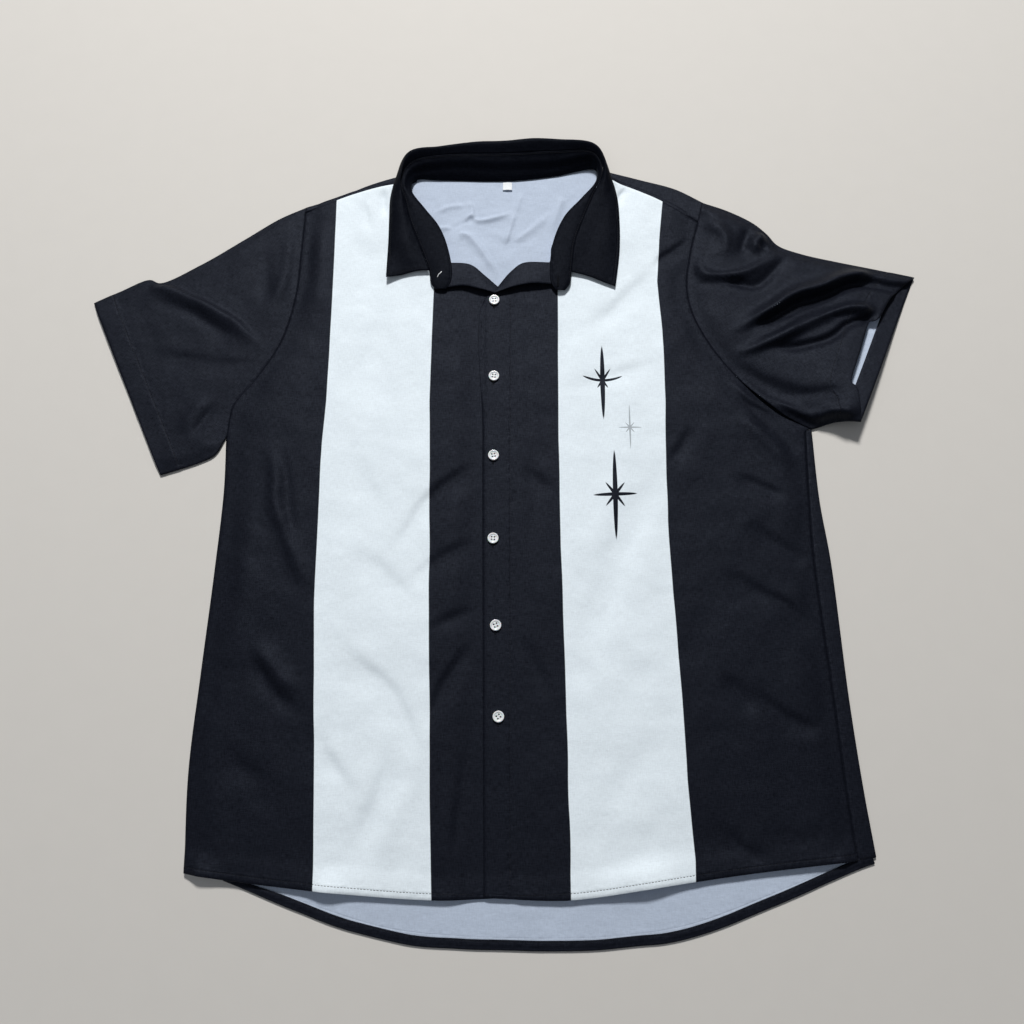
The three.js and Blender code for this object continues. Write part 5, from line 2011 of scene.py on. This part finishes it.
@dataclass
class SeamTapes:
    """The seam allowances that lie under the joints between pieces and close them."""

    width: float = 9
    drop: float = 0.95
    wall: float = 0.3
    lowest: float = 1.35

    def build(self, wardrobe: Wardrobe) -> list[Piece]:
        """Makes a dark tape under each seam of the upper layer."""
        lines = {
            "right_armhole_tape": RIGHT_ARMHOLE,
            "left_armhole_tape": LEFT_ARMHOLE,
            "right_shoulder_tape": RIGHT_SHOULDER_SEAM,
            "left_shoulder_tape": LEFT_SHOULDER_SEAM,
            "left_side_tape": LEFT_SEAM,
        }
        made = []
        for name, points in lines.items():
            line = smooth_line(points, 90)
            offsets = np.linspace(self.width / 2, -self.width / 2, 5)
            rows = np.stack([offset_line(line, offset) for offset in offsets])[:, 3:-3]
            height = RELIEF.front(rows) - self.drop - WALL
            face = lifted(rows, np.maximum(height, self.lowest))[::-1]
            shell = Shell(face, wall=self.wall, attributes=no_seam(face))
            made.append(sewn(shell, name, (wardrobe.black, wardrobe.black), Slot.SHIRT))
        return made


# ---- trims ----


@dataclass
class NeckLabel:
    """A small bare woven tab in the neck seam, folded double."""

    wall: float = 0.5

    def build(self, wardrobe: Wardrobe) -> Piece:
        """Makes the tab from its solid's place."""
        low, high = (np.array(corner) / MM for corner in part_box("neck_label"))
        x = np.linspace(low[0], high[0], 13)
        y = np.linspace(low[1], high[1], 15)
        plan = np.stack(np.meshgrid(x, y), axis=-1)
        across = (plan[..., 1] - low[1]) / (high[1] - low[1])
        height = 2.3 + 1.2 * (1 - across) ** 2 + 0.25 * np.sin(plan[..., 0] * 0.6)
        shell = Shell(lifted(plan, height), wall=self.wall, attributes={"seam": np.full(height.shape, 4.0)})
        return sewn(shell, "neck_label_tape", (wardrobe.label, wardrobe.label), Slot.LABEL, "neck_label")


@dataclass
class Buttons:
    """Four-hole shirt buttons with a raised rim, each sewn on with pale thread."""

    radius: float = 5.5
    thickness: float = 2.4
    rim: float = 1.25
    dish: float = 0.7  # how deep the middle lies
    slope: float = 0.7  # how wide the step down to it is
    slope_foot: float = 0.5
    softness: float = 0.38  # width of the rounded edges
    hole: float = 0.9
    pitch: float = 2.9
    sides: int = 48
    strand: float = 0.16
    seat: float = 0.7  # how far a button's underside is above the placket
    turns: tuple[float, ...] = (4, -8, 12, -3, 22, 35, 10)

    def model(self) -> Piece:
        """Models one button at the origin, its underside at z = 0."""
        nothing_selected()
        bpy.ops.mesh.primitive_cylinder_add(
            vertices=self.sides, radius=self.radius * MM, depth=self.thickness * MM,
            location=(0, 0, self.thickness * MM / 2),
        )
        button = bpy.context.object
        bpy.ops.object.transform_apply(location=True, rotation=True, scale=True)
        bpy.ops.object.mode_set(mode="EDIT")
        bpy.ops.mesh.select_mode(type="FACE")
        self.pick_top(button)
        bpy.ops.mesh.inset(thickness=self.rim * MM)
        bpy.ops.mesh.inset(thickness=self.slope * MM)
        bpy.ops.transform.translate(value=(0, 0, -self.dish * MM))
        bpy.ops.mesh.inset(thickness=self.slope_foot * MM)
        bpy.ops.object.mode_set(mode="OBJECT")
        bevel = button.modifiers.new("soft_edges", "BEVEL")
        bevel.width, bevel.segments = self.softness * MM, 3
        bevel.limit_method, bevel.angle_limit = "ANGLE", 0.5
        bpy.ops.object.modifier_apply(modifier=bevel.name)
        self.drill(button)
        return button

    def pick_top(self, button: Piece) -> None:
        """Selects the highest flat face."""
        mesh = bmesh.from_edit_mesh(button.data)
        highest = max(face.calc_center_median().z for face in mesh.faces)
        for face in mesh.faces:
            face.select = face.normal.z > 0.9 and abs(face.calc_center_median().z - highest) < 1e-6
        bmesh.update_edit_mesh(button.data)

    def drill(self, button: Piece) -> None:
        """Drills the four holes."""
        for sx in (-1, 1):
            for sy in (-1, 1):
                nothing_selected()
                bpy.ops.mesh.primitive_cylinder_add(
                    vertices=16, radius=self.hole * MM, depth=0.02,
                    location=(sx * self.pitch / 2 * MM, sy * self.pitch / 2 * MM, 0),
                )
                cutter = bpy.context.object
                bpy.context.view_layer.objects.active = button
                cut = button.modifiers.new("hole", "BOOLEAN")
                cut.operation, cut.object, cut.solver = "DIFFERENCE", cutter, "EXACT"
                bpy.ops.object.modifier_apply(modifier=cut.name)
                bpy.data.objects.remove(cutter, do_unlink=True)
        nothing_selected()
        button.select_set(True)
        bpy.context.view_layer.objects.active = button
        bpy.ops.object.shade_smooth_by_angle(angle=math.radians(38))

    def thread(self) -> Piece:
        """Models the sewing thread: two strands across each pair of holes."""
        nothing_selected()
        bpy.ops.mesh.primitive_cylinder_add(
            vertices=10, radius=self.strand * MM, depth=self.pitch * MM,
            location=(0, 0, 0), rotation=(0, math.pi / 2, 0),
        )
        strand = bpy.context.object
        bpy.ops.object.transform_apply(location=True, rotation=True, scale=True)
        bpy.ops.object.mode_set(mode="EDIT")
        bpy.ops.mesh.select_all(action="SELECT")
        bpy.ops.mesh.subdivide(number_cuts=5)
        bpy.ops.object.mode_set(mode="OBJECT")
        half = self.pitch / 2 * MM
        for vertex in strand.data.vertices:
            share = vertex.co.x / half
            vertex.co.z += (self.thickness - self.dish + 0.25 - 1.1 * share ** 6) * MM
        parts = []
        for offset in (-half, half):
            mesh = strand.data.copy()
            mesh.transform(Matrix.Translation((0, offset, 0)))
            parts.append(placed("strand", mesh))
        bpy.data.objects.remove(strand, do_unlink=True)
        nothing_selected()
        for part in parts:
            part.select_set(True)
        bpy.context.view_layer.objects.active = parts[0]
        bpy.ops.object.join()
        joined_up = bpy.context.object
        joined_up.data.shade_smooth()
        return joined_up

    def build(self, wardrobe: Wardrobe) -> list[Piece]:
        """Puts a button and its thread at each place that a solid gives."""
        button, thread = self.model(), self.thread()
        made = []
        nodes = [*(f"front_button_{k}" for k in range(1, 7)), "neck_button"]
        for node, turn in zip(nodes, self.turns):
            low, high = (Vector(corner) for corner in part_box(node))
            place = Vector(((low.x + high.x) / 2, (low.y + high.y) / 2, low.z))
            if node != "neck_button":
                at = np.array([[place.x, place.y]]) / MM
                place.z = float(front_surface(at, True)[0] + self.seat) * MM
            where = Matrix.Translation(place) @ Matrix.Rotation(math.radians(turn), 4, "Z")
            for source, name, material in (
                (button, f"{node}_disc", wardrobe.pearl), (thread, f"{node}_thread", wardrobe.pale_thread),
            ):
                piece = placed(name, source.data.copy())
                piece.data.transform(where)
                dress(piece, material)
                settle(piece, [node] if source is button else [])
                made.append(piece)
        for source in (button, thread):
            bpy.data.objects.remove(source, do_unlink=True)
        return made


@dataclass
class LooseThread:
    """A short pale end of the neck button's thread, which sticks out past the stand's right tab."""

    line: Path = ((-73, 254.5, 11.4), (-71.5, 257, 12.3), (-69.5, 259, 12.2), (-69, 261, 11.4))

    def build(self, wardrobe: Wardrobe) -> Piece:
        """Makes the thread's end."""
        line = smooth_line(self.line, 8)
        beads = Stitching(length=3.4, gap=-2.2, width=1.1, height=0.6)
        runs = [(line, upward(len(line)))]
        return beads.sew("neck_thread_end", runs, wardrobe.pale_thread)


@dataclass
class Buttonholes:
    """Worked buttonholes: two close rows of satin stitch and a bar at each end."""

    length: float = 15
    spread: float = 0.8
    pitch: float = 0.55
    lift: float = 0.5
    tab_place: tuple[float, float, float] = (56.5, 250.5, 11.9)
    tab_turn: float = 4

    def satin(self, places: Path, turn: float) -> list[tuple[np.ndarray, np.ndarray]]:
        """Short cross stitches down both sides of each hole.

        Args:
            places: The holes' middles.
            turn: How far they are turned, in degrees.

        Returns:
            The stitches' lines.
        """
        lines = []
        angle = math.radians(turn)
        down = np.array([math.sin(angle), math.cos(angle), 0])
        side = np.array([down[1], -down[0], 0])
        for place in places:
            for step in np.arange(-self.length / 2, self.length / 2 + 0.01, self.pitch):
                bar = abs(step) > self.length / 2 - 1.2
                for sign in (-1, 1):
                    inner, outer = (0.0 if bar else 0.3) * sign, (self.spread + 0.45) * sign
                    middle = np.array(place) + down * step
                    lines.append((np.array([middle + side * inner, middle + side * outer]), upward(2)))
        return lines

    def build(self, wardrobe: Wardrobe) -> Piece:
        """Makes the buttonholes of the placket and of the stand's left tab."""
        places = []
        for k in range(1, 7):
            low, high = (np.array(corner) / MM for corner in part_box(f"front_button_{k}"))
            x, y = (low[0] + high[0]) / 2 - 0.4, (low[1] + high[1]) / 2 - 1.5
            places.append((x, y, float(front_surface(np.array([[x, y]]), True)[0]) + self.lift))
        lines = [*self.satin(places, 0), *self.satin([self.tab_place], self.tab_turn)]
        beads = Stitching(length=0.95, gap=0.05, width=0.42, height=0.3)
        return beads.sew("buttonholes", lines, wardrobe.dark_thread)


# ---- the studio ----


@dataclass
class Studio:
    """A plain pale floor, soft light from beyond the collar, and the camera above the hem."""

    lens: float = 36
    eye: tuple[float, float, float] = (0.007, -0.2922, 1.0)
    target: tuple[float, float, float] = (0.007, -0.0055, 0)
    key_place: tuple[float, float, float] = (-0.1, 2.5, 2.85)
    key_size: float = 0.6
    key_power: float = 143
    fill_place: tuple[float, float, float] = (-0.7, -0.6, 1.9)
    fill_size: float = 2.4
    fill_power: float = 5.5
    sky: Colour = (0.86, 0.92, 1.0, 1)
    sky_strength: float = 0.13

    def build(self, wardrobe: Wardrobe) -> None:
        """Makes the floor, the lights, the sky and the camera."""
        nothing_selected()
        bpy.ops.mesh.primitive_plane_add(size=8, location=(0, 0, -0.0004))
        floor = bpy.context.object
        floor.name = "studio_floor"
        floor.data.materials.append(wardrobe.floor)
        self.lamp("key", self.key_place, self.key_size, self.key_power, (1.0, 0.985, 0.96))
        self.lamp("fill", self.fill_place, self.fill_size, self.fill_power, (0.93, 0.96, 1.0))
        world = bpy.data.worlds.new("soft_room")
        world.use_nodes = True
        background = world.node_tree.nodes["Background"]
        background.inputs["Color"].default_value = self.sky
        background.inputs["Strength"].default_value = self.sky_strength
        bpy.context.scene.world = world
        bpy.context.scene.view_settings.view_transform = "Standard"
        self.camera()

    def lamp(
        self, name: str, place: Sequence[float], size: float, power: float, colour: Sequence[float]
    ) -> None:
        """Adds one soft square light that faces the shirt.

        Args:
            name: Its name.
            place: Its place, in metres.
            size: Its width.
            power: Its power.
            colour: Its light's colour.
        """
        data = bpy.data.lights.new(name, "AREA")
        data.size, data.energy, data.color = size, power, colour
        lamp = placed(name, data)
        lamp.location = place
        lamp.rotation_euler = (-Vector(place)).to_track_quat("-Z", "Y").to_euler()

    def camera(self) -> None:
        """Adds the camera."""
        data = bpy.data.cameras.new("camera")
        data.lens, data.sensor_width, data.clip_start = self.lens, 36, 0.01
        camera = placed("camera", data)
        camera.location = self.eye
        aim = Vector(self.target) - Vector(self.eye)
        camera.rotation_euler = aim.to_track_quat("-Z", "Y").to_euler()
        bpy.context.scene.camera = camera


def main() -> None:
    """Builds the shirt from its cut pieces up, then the studio."""
    logging.basicConfig(level=logging.INFO, format="%(name)s: %(message)s")
    wardrobe = Wardrobe()
    BackPanel().build(wardrobe)
    BackHem().build(wardrobe)
    fronts = Fronts()
    fronts.build(Side.RIGHT, wardrobe)
    fronts.build(Side.LEFT, wardrobe)
    fronts.stitch(wardrobe)
    sleeves = Sleeves()
    sleeves.build(RIGHT_SLEEVE, wardrobe)
    sleeves.build(LEFT_SLEEVE, wardrobe)
    sleeves.inner_band(wardrobe)
    SeamTapes().build(wardrobe)
    Collar().build(wardrobe)
    for facing in FACINGS:
        facing.build(wardrobe)
    NeckLabel().build(wardrobe)
    Buttons().build(wardrobe)
    Buttonholes().build(wardrobe)
    LooseThread().build(wardrobe)
    Studio().build(wardrobe)


if __name__ == "__main__":
    main()
